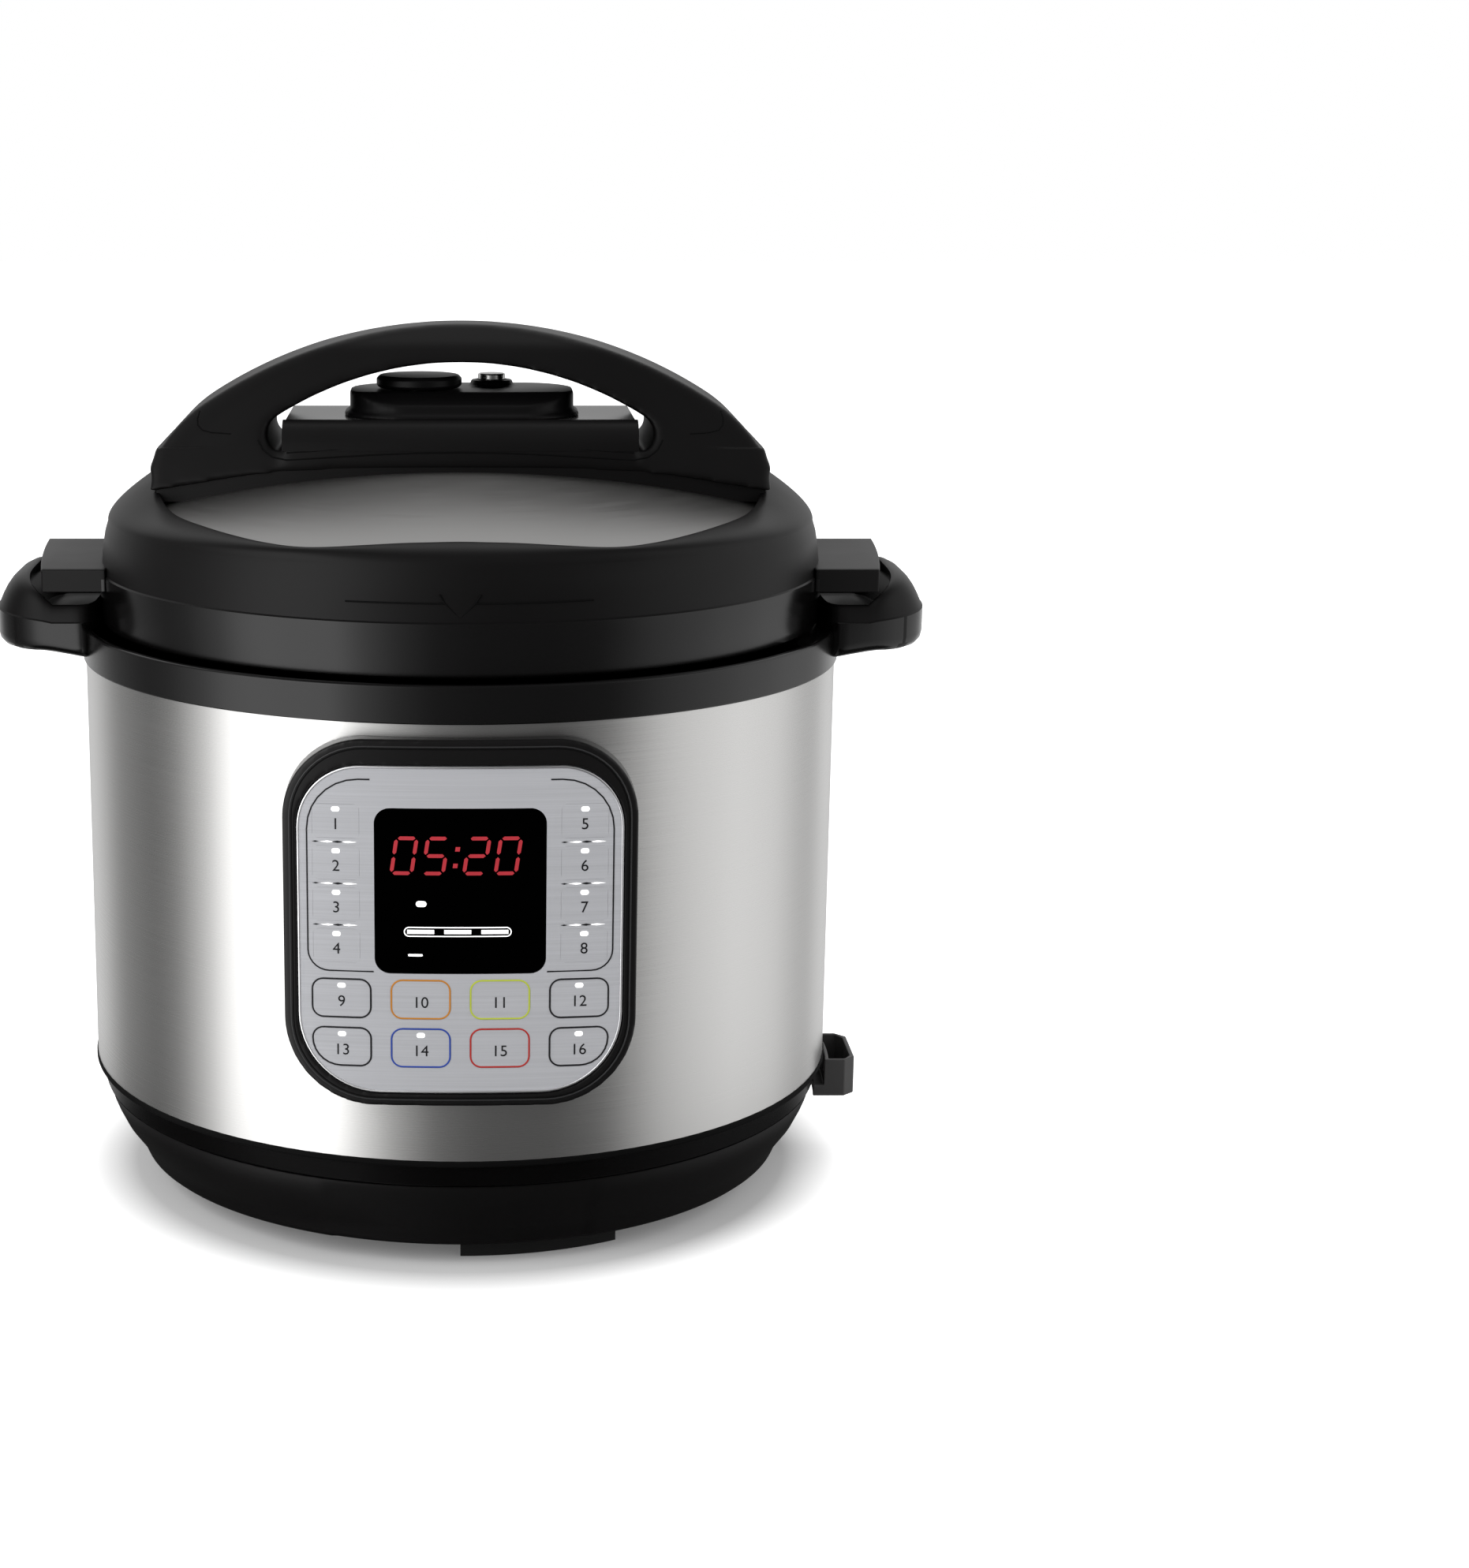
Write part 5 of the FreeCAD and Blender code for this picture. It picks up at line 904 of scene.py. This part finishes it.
class COOKER_OT_base_skirt(bpy.types.Operator):
    """Models the skin of the base: raised belly panels, rolled foot, and a dark ring of painted shade in the
    seam under the steel
    """

    bl_idname = "cooker.base_skirt"
    bl_label = "Base skirt"

    def execute(self, context):
        skirt = lathed("base_skirt", BELLY_RINGS)
        for vertex in skirt.data.vertices:
            turn = math.degrees(math.atan2(vertex.co.x, -vertex.co.y))
            off_centre = abs((turn + 90.0) % 180.0 - 90.0)
            if PANEL_FOOT < vertex.co.z * 1000 < PANEL_HEAD and off_centre > PANEL_GAP:
                vertex.co.xy *= PANEL_SWELL
        bpy.ops.object.mode_set(mode="EDIT")
        select_where(skirt, "FACE", lambda place: abs(place.x) < INLET_HALF and place.y > 0)
        bpy.ops.mesh.delete(type="FACE")
        bpy.ops.object.mode_set(mode="OBJECT")
        face_out(skirt)
        self.thicken(skirt, 0.0010, -1.0, "base_plastic")
        # A thin dark band that paints the shade in the seam under the steel.
        self.thicken(lathed("steel_seam", SEAM_SHADE_RINGS), 0.0004, 0.0, "groove")
        return {"FINISHED"}

    def thicken(self, piece, thickness, offset, finish):
        modify(piece, "SOLIDIFY", thickness=thickness, offset=offset)
        smooth(28)
        trim(piece, "base", finish)


# ---- lid cover
# In millimetres: the rings of the skirt, from the foot up to the brow.
SKIRT_RINGS = ((131.0, 209.7), (131.6, 210.4), (132.1, 218.0), (132.2, 227.3), (132.1, 227.9), (131.5, 228.4),
               (131.2, 232.0), (130.7, 237.0), (129.9, 241.8), (128.7, 245.8))
# Degrees from the front, then radius and height of the window's edge.
WINDOW_EDGE = (
    (0, 117.1, 252.9), (9, 118.7, 252.5), (16, 122.2, 251.7), (22, 125.2, 250.8), (26, 126.0, 250.6),
    (33, 124.0, 251.1), (39, 121.6, 251.8), (48, 118.3, 252.7), (60, 115.2, 253.6), (66, 114.0, 255.2),
    (71, 113.2, 257.6), (80, 111.2, 261.8), (90, 110.6, 263.6))
# Degrees from the front, then radius and height of the point that the brow bends towards.
BROW_BEND = ((0, 127.5, 251.7), (18, 128.4, 251.2), (26, 129.3, 250.4), (45, 130.2, 250.8),
             (60, 129.9, 250.6), (90, 129.6, 250.6))
BROW_STEPS = 14
LIP_INSETS = (0.45, 0.85, 1.0)  # the window's lip: how far its three rings lie inside the edge
LIP_DROPS = (0.05, 0.4)  # and how far the first two lie under it; the last is sunk in the steel
DOME_RADIUS = 480.0
COVER_WALL = 0.0024  # metres, as is all that follows
SADDLE = ((-0.108, -0.0345, 0.2550), (0.108, 0.0345, 0.2681))  # lower and upper corner
EAR_HALF = 0.0385
EAR = ((0.1265, -EAR_HALF, 0.2230), (0.150, EAR_HALF, 0.2313))
GLOSSY_SKIRT = (0.2279, 0.1335)  # greatest height and radius of the skirt's glossy part
LINE_WIRE = 0.0003
LINE_STEPS = 24
LINE_HEIGHT = 0.2346
ARROW_FOOT, ARROW_HALF = 0.2298, 0.005
TICK_HEAD, TICK_LEAN = 0.2376, 0.0068


class COOKER_OT_lid_cover(bpy.types.Operator):
    """Models the lid's plastic cover: skirt, scooped brow, window edges, saddle and ears"""

    bl_idname = "cooker.lid_cover"
    bl_label = "Lid cover"

    def execute(self, context):
        cover = self.skin()
        modify(cover, "SOLIDIFY", thickness=COVER_WALL, offset=-1.0, use_even_offset=True)
        ears = [self.ear(side) for side in (-1, 1)]
        # the saddle carries the handle across the dome
        cover = joined("lid_cover", cover, block("saddle", *SADDLE), *ears)
        smooth(32)
        stands_for(cover, "lid_ring")
        height, radius = GLOSSY_SKIRT
        refinish(cover, "smooth_plastic", lambda place: place.z < height and place.xy.length < radius)
        self.line()
        return {"FINISHED"}

    def skin(self):
        """The skirt drawn up ring by ring; above the brow each point then takes its place round the lid."""
        dome_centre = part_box("lid_dome")[1].z * 1000 - DOME_RADIUS
        brow = SKIRT_RINGS[-1]
        above = [(brow[0] - n, brow[1] + n) for n in range(1, BROW_STEPS + len(LIP_INSETS) + 1)]
        cover = lathed("lid_cover", [*SKIRT_RINGS, *above])
        for index, vertex in enumerate(cover.data.vertices):
            ring = index // AROUND - len(SKIRT_RINGS)
            if ring < 0:
                continue
            turn = math.atan2(vertex.co.x, -vertex.co.y)
            edge_radius, edge_height = along(WINDOW_EDGE, math.degrees(turn))
            bend_radius, bend_height = along(BROW_BEND, math.degrees(turn))
            step = (ring + 1) / BROW_STEPS
            if step <= 1.0:
                first, middle, last = (1 - step) ** 2, 2 * step * (1 - step), step ** 2
                radius = first * brow[0] + middle * bend_radius + last * edge_radius
                height = first * brow[1] + middle * bend_height + last * edge_height
            else:
                lip = ring - BROW_STEPS
                steel = dome_centre + math.sqrt(DOME_RADIUS ** 2 - edge_radius ** 2)
                radius = edge_radius - LIP_INSETS[lip]
                height = [*(edge_height - drop for drop in LIP_DROPS), steel - 0.5][lip]
            vertex.co = (radius * math.sin(turn) / 1000, -radius * math.cos(turn) / 1000, height / 1000)
        face_out(cover)
        return cover

    def ear(self, side):
        """A flat ear that lies over the carrying handle, its end bowed out."""
        ear = block("ear", *EAR)
        bpy.ops.object.mode_set(mode="EDIT")
        select_where(ear, "EDGE", lambda place: abs(place.y) < 1e-4)
        bpy.ops.mesh.subdivide(number_cuts=15)
        mesh = bmesh.from_edit_mesh(ear.data)
        for vertex in mesh.verts:
            if vertex.co.x > EAR[1][0] - 0.001:
                part = vertex.co.y / EAR_HALF
                vertex.co.x = 0.1543 + 0.0040 * part - 0.0010 * part * part
        put_on_side(ear, mesh, side)
        modify(ear, "BEVEL", width=0.0007, segments=3, limit_method="ANGLE", angle_limit=math.radians(40))
        return ear

    def line(self):
        """The thin closing line with its arrow, cut in the skirt's front."""
        def on_skirt(x, height=LINE_HEIGHT):
            radius = 0.1311 if height < LINE_HEIGHT - 0.0001 else 0.1310
            return Vector((x, -math.sqrt(radius ** 2 - x ** 2), height))
        path = [on_skirt(-0.0375 + n / LINE_STEPS * 0.0325) for n in range(LINE_STEPS + 1)]
        path += [on_skirt(0.0, ARROW_FOOT), on_skirt(ARROW_HALF)]
        path += [on_skirt(ARROW_HALF + n / LINE_STEPS * 0.0385) for n in range(1, LINE_STEPS + 1)]
        left = [on_skirt(-TICK_LEAN, TICK_HEAD), on_skirt(-ARROW_HALF)]
        right = [on_skirt(ARROW_HALF), on_skirt(TICK_LEAN, TICK_HEAD)]
        mark = joined("closing_line", *(wire("line", points, LINE_WIRE) for points in (path, left, right)))
        # The line's near-black finish paints the shade in its cut.
        trim(mark, "lid", "groove")


# ---- lid handle
SLOPE = 0.407  # how far the front face leans back for each unit up
FACE_DEPTH = 37.5  # millimetres: half depth of the handle at FACE_HEIGHT
FACE_HEIGHT = 262.0
HANDLE_VOXEL, HANDLE_ROUNDS = 0.00095, 30
ARCH_FOOT = 0.274  # metres, as is all that follows, but for the points
ARCH_CENTRE = 0.1785  # height of the arch's centre
ARCH_INNER = 0.1275  # its inner radius
ARCH_WALL = 0.009  # thickness over which the arch is lowered, by ARCH_DROP at its outside
ARCH_DROP = 0.0009
FOOT = ((0.072, -0.03, 0.26), (0.1104, 0.03, 0.274))
FOOT_OUTER_HEAD = 0.1084
FOOT_HEIGHTS = (0.2648, 0.2588)  # of its underside, inside and outside
GROOVE_SINK = 0.00006
SEAM_WIRE, SLOT_WIRE = 0.00026, 0.00032
# Millimetres across and up, on the handle's front: the right seam, and the left halves of the slot's grooves.
SEAM_POINTS = ((92.6, 286.4), (93.4, 283.8), (93.2, 281.6), (91.6, 279.9), (88.3, 279.1), (81.5, 278.7))
SLOT_POINTS = (((-71.8, 276.6), (-70.0, 273.3), (-66.6, 270.8), (-61.5, 269.9), (-45, 270.9), (-30, 271.8),
                (-15, 272.4), (0, 272.6)),
               ((-61.5, 272.4), (-45, 273.5), (-30, 274.4), (-15, 274.9), (0, 275.1)))
# Millimetres back and up: the profile of the tray's front lip.
TRAY_LIP = ((-24.0, 272.0), (-35.5, 273.0), (-35.4, 275.6), (-34.6, 278.0), (-33.2, 280.2), (-31.2, 282.0),
            (-28.8, 283.0), (-26.2, 283.3), (-24.0, 283.0))
TRAY_HALF = 63.2
TRAY_FLOOR = ((-0.0625, -0.0238, 0.2826), (0.0625, 0.0285, 0.2829))


def face_depth(height):
    """Half depth of the handle at that height, in millimetres."""
    return FACE_DEPTH - (height - FACE_HEIGHT) * SLOPE


def on_handle(x, height):
    """A point on the handle's leaning front face."""
    return Vector((x, -face_depth(height), height)) / 1000


class COOKER_OT_lid_handle(bpy.types.Operator):
    """Models the arched lid handle: both mouldings under one eased skin, its feet, seams and slot grooves"""

    bl_idname = "cooker.lid_handle"
    bl_label = "Lid handle"

    def execute(self, context):
        feet = [self.foot(side) for side in (-1, 1)]
        handle = moulded("lid_handle", ["handle_grip", "handle_base"], HANDLE_VOXEL, HANDLE_ROUNDS, feet)
        for vertex in handle.data.vertices:
            reach = math.hypot(vertex.co.x, vertex.co.z - ARCH_CENTRE)
            if vertex.co.z > ARCH_FOOT and reach > ARCH_INNER:
                vertex.co.z -= ARCH_DROP * min(1.0, (reach - ARCH_INNER) / ARCH_WALL)
        self.grooves(handle)
        self.tray()
        return {"FINISHED"}

    def foot(self, side):
        """A wedge that brings the foot of the front and rear faces down onto the cover."""
        foot = block("foot", *FOOT)
        bpy.ops.object.mode_set(mode="EDIT")
        mesh = bmesh.from_edit_mesh(foot.data)
        for vertex in mesh.verts:
            outer = vertex.co.x > 0.09
            if vertex.co.z < 0.265:
                vertex.co.z = FOOT_HEIGHTS[outer]
            elif outer:
                vertex.co.x = FOOT_OUTER_HEAD
            vertex.co.y = math.copysign((face_depth(vertex.co.z * 1000) - 0.1) / 1000, vertex.co.y)
        return put_on_side(foot, mesh, side)

    def grooves(self, handle):
        """Grooves painted as dark shade: two round the slot's lower ends, and the seams between the two
        mouldings.
        """
        paths = [([(side * x, z) for x, z in SEAM_POINTS], SEAM_WIRE) for side in (-1, 1)]
        paths += [([*half, *((-x, z) for x, z in reversed(half[:-1]))], SLOT_WIRE) for half in SLOT_POINTS]
        lines = [wire("groove", laid(handle, [on_handle(x, z) for x, z in path], GROOVE_SINK), radius)
                 for path, radius in paths]
        # These wires paint the shade in the grooves and seams.
        trim(joined("handle_grooves", *lines), "lid", "groove")

    def tray(self):
        """The tray under the arch: a rounded front lip and a glossy floor behind it."""
        lip = plaque("tray_lip", [Vector((-TRAY_HALF, y, z)) / 1000 for y, z in TRAY_LIP],
                     (2 * TRAY_HALF / 1000, 0, 0))
        smooth(34)
        trim(lip, "lid", "satin_black_plastic")
        floor = block("tray_floor", *TRAY_FLOOR)
        modify(floor, "BEVEL", width=0.0001, segments=1)
        trim(floor, "lid", "wet_plastic")


# ---- panel print
# Millimetres throughout.
PANEL_CURVE = 350.0  # radius of the panel's bow
KEY_INKS = {9: "ink_black", 10: "ink_orange", 11: "ink_green", 12: "ink_black",
            13: "ink_black", 14: "ink_blue", 15: "ink_red", 16: "ink_black"}
KEY_ROUND = 3.6
OUTER_CORNER = {13: 0, 16: 1}  # keys at the plate's lower corners, and which of their own corners is wider
OUTER_ROUND = 9.3
LAMP_KEYS = (1, 2, 3, 4, 5, 6, 7, 8, 9, 12, 13, 14, 16)
LAMP_HALF = (1.4, 0.85)
NUMERAL_SIZE = 5.4
# Inset from the bezel's outline, name and finish of the two lines on it: a groove painted as dark shade, and
# a painted sheen.
BEZEL_LINES = ((3.0, "bezel_groove", "groove"), (2.3, "bezel_edge", "painted_sheen"))
# Radii of the corners, from the lower left, anticlockwise.
BEZEL_ROUNDS = (30, 30, 27, 27)
PLATE_ROUNDS = (27, 27, 21, 21)
PLATE_INSET = 0.35
# The frame line's box on the left half, and where the line starts at its foot and ends at its head.
LINE_BOX = (-50.3, 113.4, 0.0, 178.5)
LINE_START, LINE_END = -28.6, -29.5
# A divider's strips, an engraved line painted as its reflections: whether it is bright (a glowing painted
# highlight) or dark (painted shade), its left and right end, and half its thickness.
STRIPS = ((True, -5.2, -0.2, 0.34), (True, 1.2, 7.0, 0.34),
          (False, -1.4, 2.6, 0.36), (False, -7.8, -5.6, 0.26))


def box_mm(node):
    """The node's two corners in millimetres."""
    return [corner * 1000 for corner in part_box(node)]


def on_panel(x, height, node="control_panel", proud=0.0):
    """A point on the curved front of that node, for x and height in millimetres."""
    low, high = box_mm(node)
    centre = box_mm("panel_frame")[0].y + PANEL_CURVE
    nearest = max(low.x, -high.x, 0.0)
    radius = math.hypot(centre - low.y, nearest) + proud
    return Vector((x, centre - math.sqrt(radius ** 2 - x ** 2), height)) / 1000


def round_outline(left, foot, right, head, rounds, steps=7):
    """Points round a rectangle; rounds are the corners' radii from the lower left, anticlockwise."""
    corners = ((left, foot, 1, 1), (right, foot, -1, 1), (right, head, -1, -1), (left, head, 1, -1))
    points = []
    for start, ((x, z, over, up), radius) in zip((180, 270, 0, 90), zip(corners, rounds)):
        for n in range(steps + 1):
            turn = math.radians(start + 90 * n / steps)
            points.append((x + over * radius + radius * math.cos(turn),
                           z + up * radius + radius * math.sin(turn)))
    return points


def fine(outline, longest=3.0):
    """The closed outline with more points wherever two are far apart."""
    found = []
    for start, end in zip(outline, outline[1:] + outline[:1]):
        parts = max(1, math.ceil(math.dist(start, end) / longest))
        found += [(start[0] + (end[0] - start[0]) * n / parts, start[1] + (end[1] - start[1]) * n / parts)
                  for n in range(parts)]
    return found


def inset_outline(node, inset, rounds, steps=7):
    """A fine outline that far inside the node's own."""
    low, high = box_mm(node)
    return fine(round_outline(low.x + inset, low.z + inset, high.x - inset, high.z - inset, rounds, steps))


def plaque(name, spots, back=(0.0, 0.0003, 0.0)):
    """A thin plate whose front follows those points, given its thickness towards the rear."""
    piece = started(name, bpy.ops.mesh.primitive_circle_add, vertices=len(spots), radius=0.01,
                    fill_type="NGON")
    for vertex, spot in zip(piece.data.vertices, spots):
        vertex.co = spot
    with WholeMesh():
        bpy.ops.mesh.extrude_region_move(TRANSFORM_OT_translate={"value": back})
        bpy.ops.mesh.select_all(action="SELECT")
        bpy.ops.mesh.normals_make_consistent(inside=False)
    return piece


class COOKER_OT_panel_print(bpy.types.Operator):
    """Prints the panel: frame line, key outlines, plain numerals and lamps; and paints the bezel's groove
    shade and sheen, the plate's edge highlight, and the dividers' shade and highlights
    """

    bl_idname = "cooker.panel_print"
    bl_label = "Panel print"

    def execute(self, context):
        self.frame_line()
        self.edge_lines()
        self.dividers()
        for number in range(1, 17):
            self.key(number)
        return {"FINISHED"}

    def frame_line(self):
        """Two thin lines that run from the display round the side keys and up to the head of the plate."""
        corners = round_outline(*LINE_BOX, (7.0, 0.0, 0.0, 17.0))
        path = [(LINE_START, LINE_BOX[1]), *reversed(corners[:8]), *reversed(corners[-8:]),
                (LINE_END, LINE_BOX[3])]
        lines = [wire("line", [on_panel(side * x, z, proud=-0.1) for x, z in path], 0.00030)
                 for side in (1, -1)]
        trim(joined("frame_lines", *lines), "base", "ink_black")

    def edge_lines(self):
        """The bezel's groove, painted as dark shade, and a painted sheen beside it; and the plate's edge,
        painted as a bright highlight.
        """
        bezel = bpy.data.objects["bezel"]
        # The bezel's groove is painted as a dark shade line, and a painted sheen lies beside it.
        for inset, name, finish in BEZEL_LINES:
            path = inset_outline("panel_frame", inset, [r - inset for r in BEZEL_ROUNDS], 14)
            spots = laid(bezel, [on_panel(x, z, "panel_frame") for x, z in path], 0.00010)
            trim(wire(name, spots, 0.00028, closed=True), "base", finish)
        # The plate's edge is a near-white wire: a painted highlight round the plate.
        path = inset_outline("control_panel", PLATE_INSET, [r - PLATE_INSET for r in PLATE_ROUNDS], 14)
        edge = wire("plate_edge", [on_panel(x, z, proud=-0.1) for x, z in path], 0.00045, closed=True)
        trim(edge, "base", "painted_edge_highlight")

    def dividers(self):
        """Thin pointed strips between the side keys that paint an engraved line's reflections: dark painted
        shade in the middle and at the tip, glowing painted highlights between.
        """
        made = {True: [], False: []}
        keys = [box_mm(f"key_{n:02d}") for n in range(1, 9)]
        for column in (keys[:4], keys[4:]):
            middle = (column[0][0].x + column[0][1].x) / 2
            for lower, upper in zip(column, column[1:]):
                z = (lower[1].z + upper[0].z) / 2
                for bright, left, right, thick in STRIPS:
                    centre = (left + right) / 2
                    spots = [(left, z), (centre, z - thick), (right, z), (centre, z + thick)]
                    proud = 0.05 if bright else 0.09
                    spots = [on_panel(middle + x, height, proud=proud) for x, height in spots]
                    made[bright].append(plaque("strip", spots))
        # The dark strips are painted shade; the bright ones glow as painted highlights.
        trim(joined("dividers_dark", *made[False]), "base", "ink_black")
        trim(joined("dividers_bright", *made[True]), "base", "lamp_white")

    def key(self, number):
        node = f"key_{number:02d}"
        low, high = box_mm(node)
        middle = (low.x + high.x) / 2
        if number in KEY_INKS:
            rounds = [KEY_ROUND] * 4
            if number in OUTER_CORNER:
                rounds[OUTER_CORNER[number]] = OUTER_ROUND
            path = inset_outline(node, 0.12, rounds)
            spots = [on_panel(x, z, node, -0.12) for x, z in path]
            trim(wire(f"{node}_outline", spots, 0.00034, closed=True), node, KEY_INKS[number])
        if number in LAMP_KEYS:
            z = high.z - (1.5 if number < 9 else 2.3)
            half, tall = LAMP_HALF
            spots = round_outline(middle - half, z - tall, middle + half, z + tall, [0.8] * 4, 4)
            lamp = plaque(f"{node}_lamp", [on_panel(x, h, node, 0.08) for x, h in spots])
            trim(lamp, node, "lamp_white")
        # numerals run down the left column, then the right, then along each row
        shown = 5 - number if number < 5 else 13 - number if number < 9 else number
        self.numeral(node, str(shown), middle, (low.z + high.z) / 2 - 1.2)

    def numeral(self, node, text, x, z):
        """A plain number, bent onto the key's face."""
        piece = started(f"{node}_numeral", bpy.ops.object.text_add, location=(0, 0, 0))
        piece.data.body = text
        piece.data.size = NUMERAL_SIZE
        piece.data.align_x = piece.data.align_y = "CENTER"
        piece.data.extrude = 0.15
        piece.data.resolution_u = 4
        bpy.ops.object.convert(target="MESH")
        piece = bpy.context.object
        for vertex in piece.data.vertices:
            vertex.co = on_panel(x + vertex.co.x, z + vertex.co.y, node, vertex.co.z - 0.09)
        trim(piece, node, "ink_black")


# ---- display
# Millimetres. Each digit and its left side, its lit segments, and each segment's ends in halves of the digit.
TIME = (("0", -22.6), ("5", -12.3), ("2", 1.2), ("0", 11.5))
DIGITS = {"0": "abcdef", "2": "abged", "5": "afgcd"}
SEGMENTS = {"a": ((0, 2), (1, 2)), "b": ((1, 2), (1, 1)), "c": ((1, 1), (1, 0)), "d": ((0, 0), (1, 0)),
            "e": ((0, 0), (0, 1)), "f": ((0, 1), (0, 2)), "g": ((0, 1), (1, 1))}
DIGIT_WIDTH, DIGIT_HALF, DIGIT_FOOT = 6.6, 5.9, 147.2
BAR_HALF, BAR_GAP, LEAN = 0.62, 0.42, 0.15
COLON_HEIGHTS = (149.8, 155.4)
COLON_CORNERS = ((-0.75, -0.75), (0.75, -0.75), (0.95, 0.75), (-0.55, 0.75))
LAMP, DASH = (-14.6, 135.8, -11.1, 137.8), (-17.2, 118.9, -12.4, 119.7)
LEVEL_BAR = (-18.4, 125.8, 16.7, 128.8)
LEVEL_STEPS, LEVEL_WIDTH, LEVEL_FOOT, LEVEL_HEAD = (-17.5, -5.3, 6.9), 8.9, 126.6, 128.0


class COOKER_OT_display(bpy.types.Operator):
    """Lights the display: slanted red digits, level bar, lamp and dash"""

    bl_idname = "cooker.display"
    bl_label = "Display"

    def execute(self, context):
        red = [self.segment(x, *SEGMENTS[name]) for text, x in TIME for name in DIGITS[text]]
        for z in COLON_HEIGHTS:
            x = -2.2 + (z - 146.6) * 0.14
            red.append(self.tile([(x + over, z + up) for over, up in COLON_CORNERS]))
        trim(joined("digits", *red), "base", "digit_red")
        outlines = [round_outline(*LAMP, [0.95] * 4, 4), round_outline(*DASH, [0.3] * 4, 3)]
        outlines += [[(left, LEVEL_FOOT), (left + LEVEL_WIDTH, LEVEL_FOOT), (left + LEVEL_WIDTH, LEVEL_HEAD),
                      (left, LEVEL_HEAD)] for left in LEVEL_STEPS]
        white = [self.tile(outline) for outline in outlines]
        path = fine(round_outline(*LEVEL_BAR, [1.49] * 4, 5))
        ring = wire("ring", [on_panel(x, z, "display_window", 0.02) for x, z in path], 0.00020, closed=True)
        trim(joined("display_marks", *white, ring), "base", "lamp_white")
        return {"FINISHED"}

    def tile(self, outline):
        return plaque("tile", [on_panel(x, z, "display_window", 0.05) for x, z in outline], (0, 0.00015, 0))

    def segment(self, left, start, end):
        """One bar of a seven-bar digit, mitred at both ends."""
        (ax, az), (bx, bz) = ((left + x * DIGIT_WIDTH, DIGIT_FOOT + z * DIGIT_HALF) for x, z in (start, end))
        along_x, along_z = (1, 0) if az == bz else (0, 1 if bz > az else -1)
        ax, az = ax + along_x * BAR_GAP, az + along_z * BAR_GAP
        bx, bz = bx - along_x * BAR_GAP, bz - along_z * BAR_GAP
        in_x, in_z = along_x * BAR_HALF, along_z * BAR_HALF
        spots = [(ax, az), (ax + in_x - in_z, az + in_z + in_x), (bx - in_x - in_z, bz - in_z + in_x),
                 (bx, bz), (bx - in_x + in_z, bz - in_z - in_x), (ax + in_x + in_z, az + in_z - in_x)]
        return self.tile([(x + (z - DIGIT_FOOT) * LEAN, z) for x, z in spots])


# ---- add-on
class COOKER_PT_panel(bpy.types.Panel):
    """Lists the steps that make the cooker"""

    bl_idname = "COOKER_PT_panel"
    bl_label = "Pressure cooker"
    bl_space_type = "VIEW_3D"
    bl_region_type = "UI"
    bl_category = "Cooker"

    def draw(self, context):
        for step in STEPS:
            self.layout.operator(step.bl_idname)
        for group in (context.scene.cooker_stage, context.scene.cooker_colours):
            box = self.layout.box()
            for name in group.bl_rna.properties.keys()[2:]:
                box.prop(group, name)


STEPS = (COOKER_OT_stage, COOKER_OT_finishes, COOKER_OT_mouldings, COOKER_OT_carrying_handles,
         COOKER_OT_base_skirt, COOKER_OT_lid_cover, COOKER_OT_lid_handle, COOKER_OT_panel_print,
         COOKER_OT_display)
CLASSES = (CookerStage, CookerColours, *STEPS, COOKER_PT_panel)


def register():
    for made in CLASSES:
        bpy.utils.register_class(made)
    bpy.types.Scene.cooker_stage = PointerProperty(type=CookerStage)
    bpy.types.Scene.cooker_colours = PointerProperty(type=CookerColours)


def unregister():
    del bpy.types.Scene.cooker_colours
    del bpy.types.Scene.cooker_stage
    for made in reversed(CLASSES):
        bpy.utils.unregister_class(made)


def main():
    register()
    for step in STEPS:
        group, name = step.bl_idname.split(".")
        getattr(getattr(bpy.ops, group), name)()


if __name__ == "__main__":
    main()
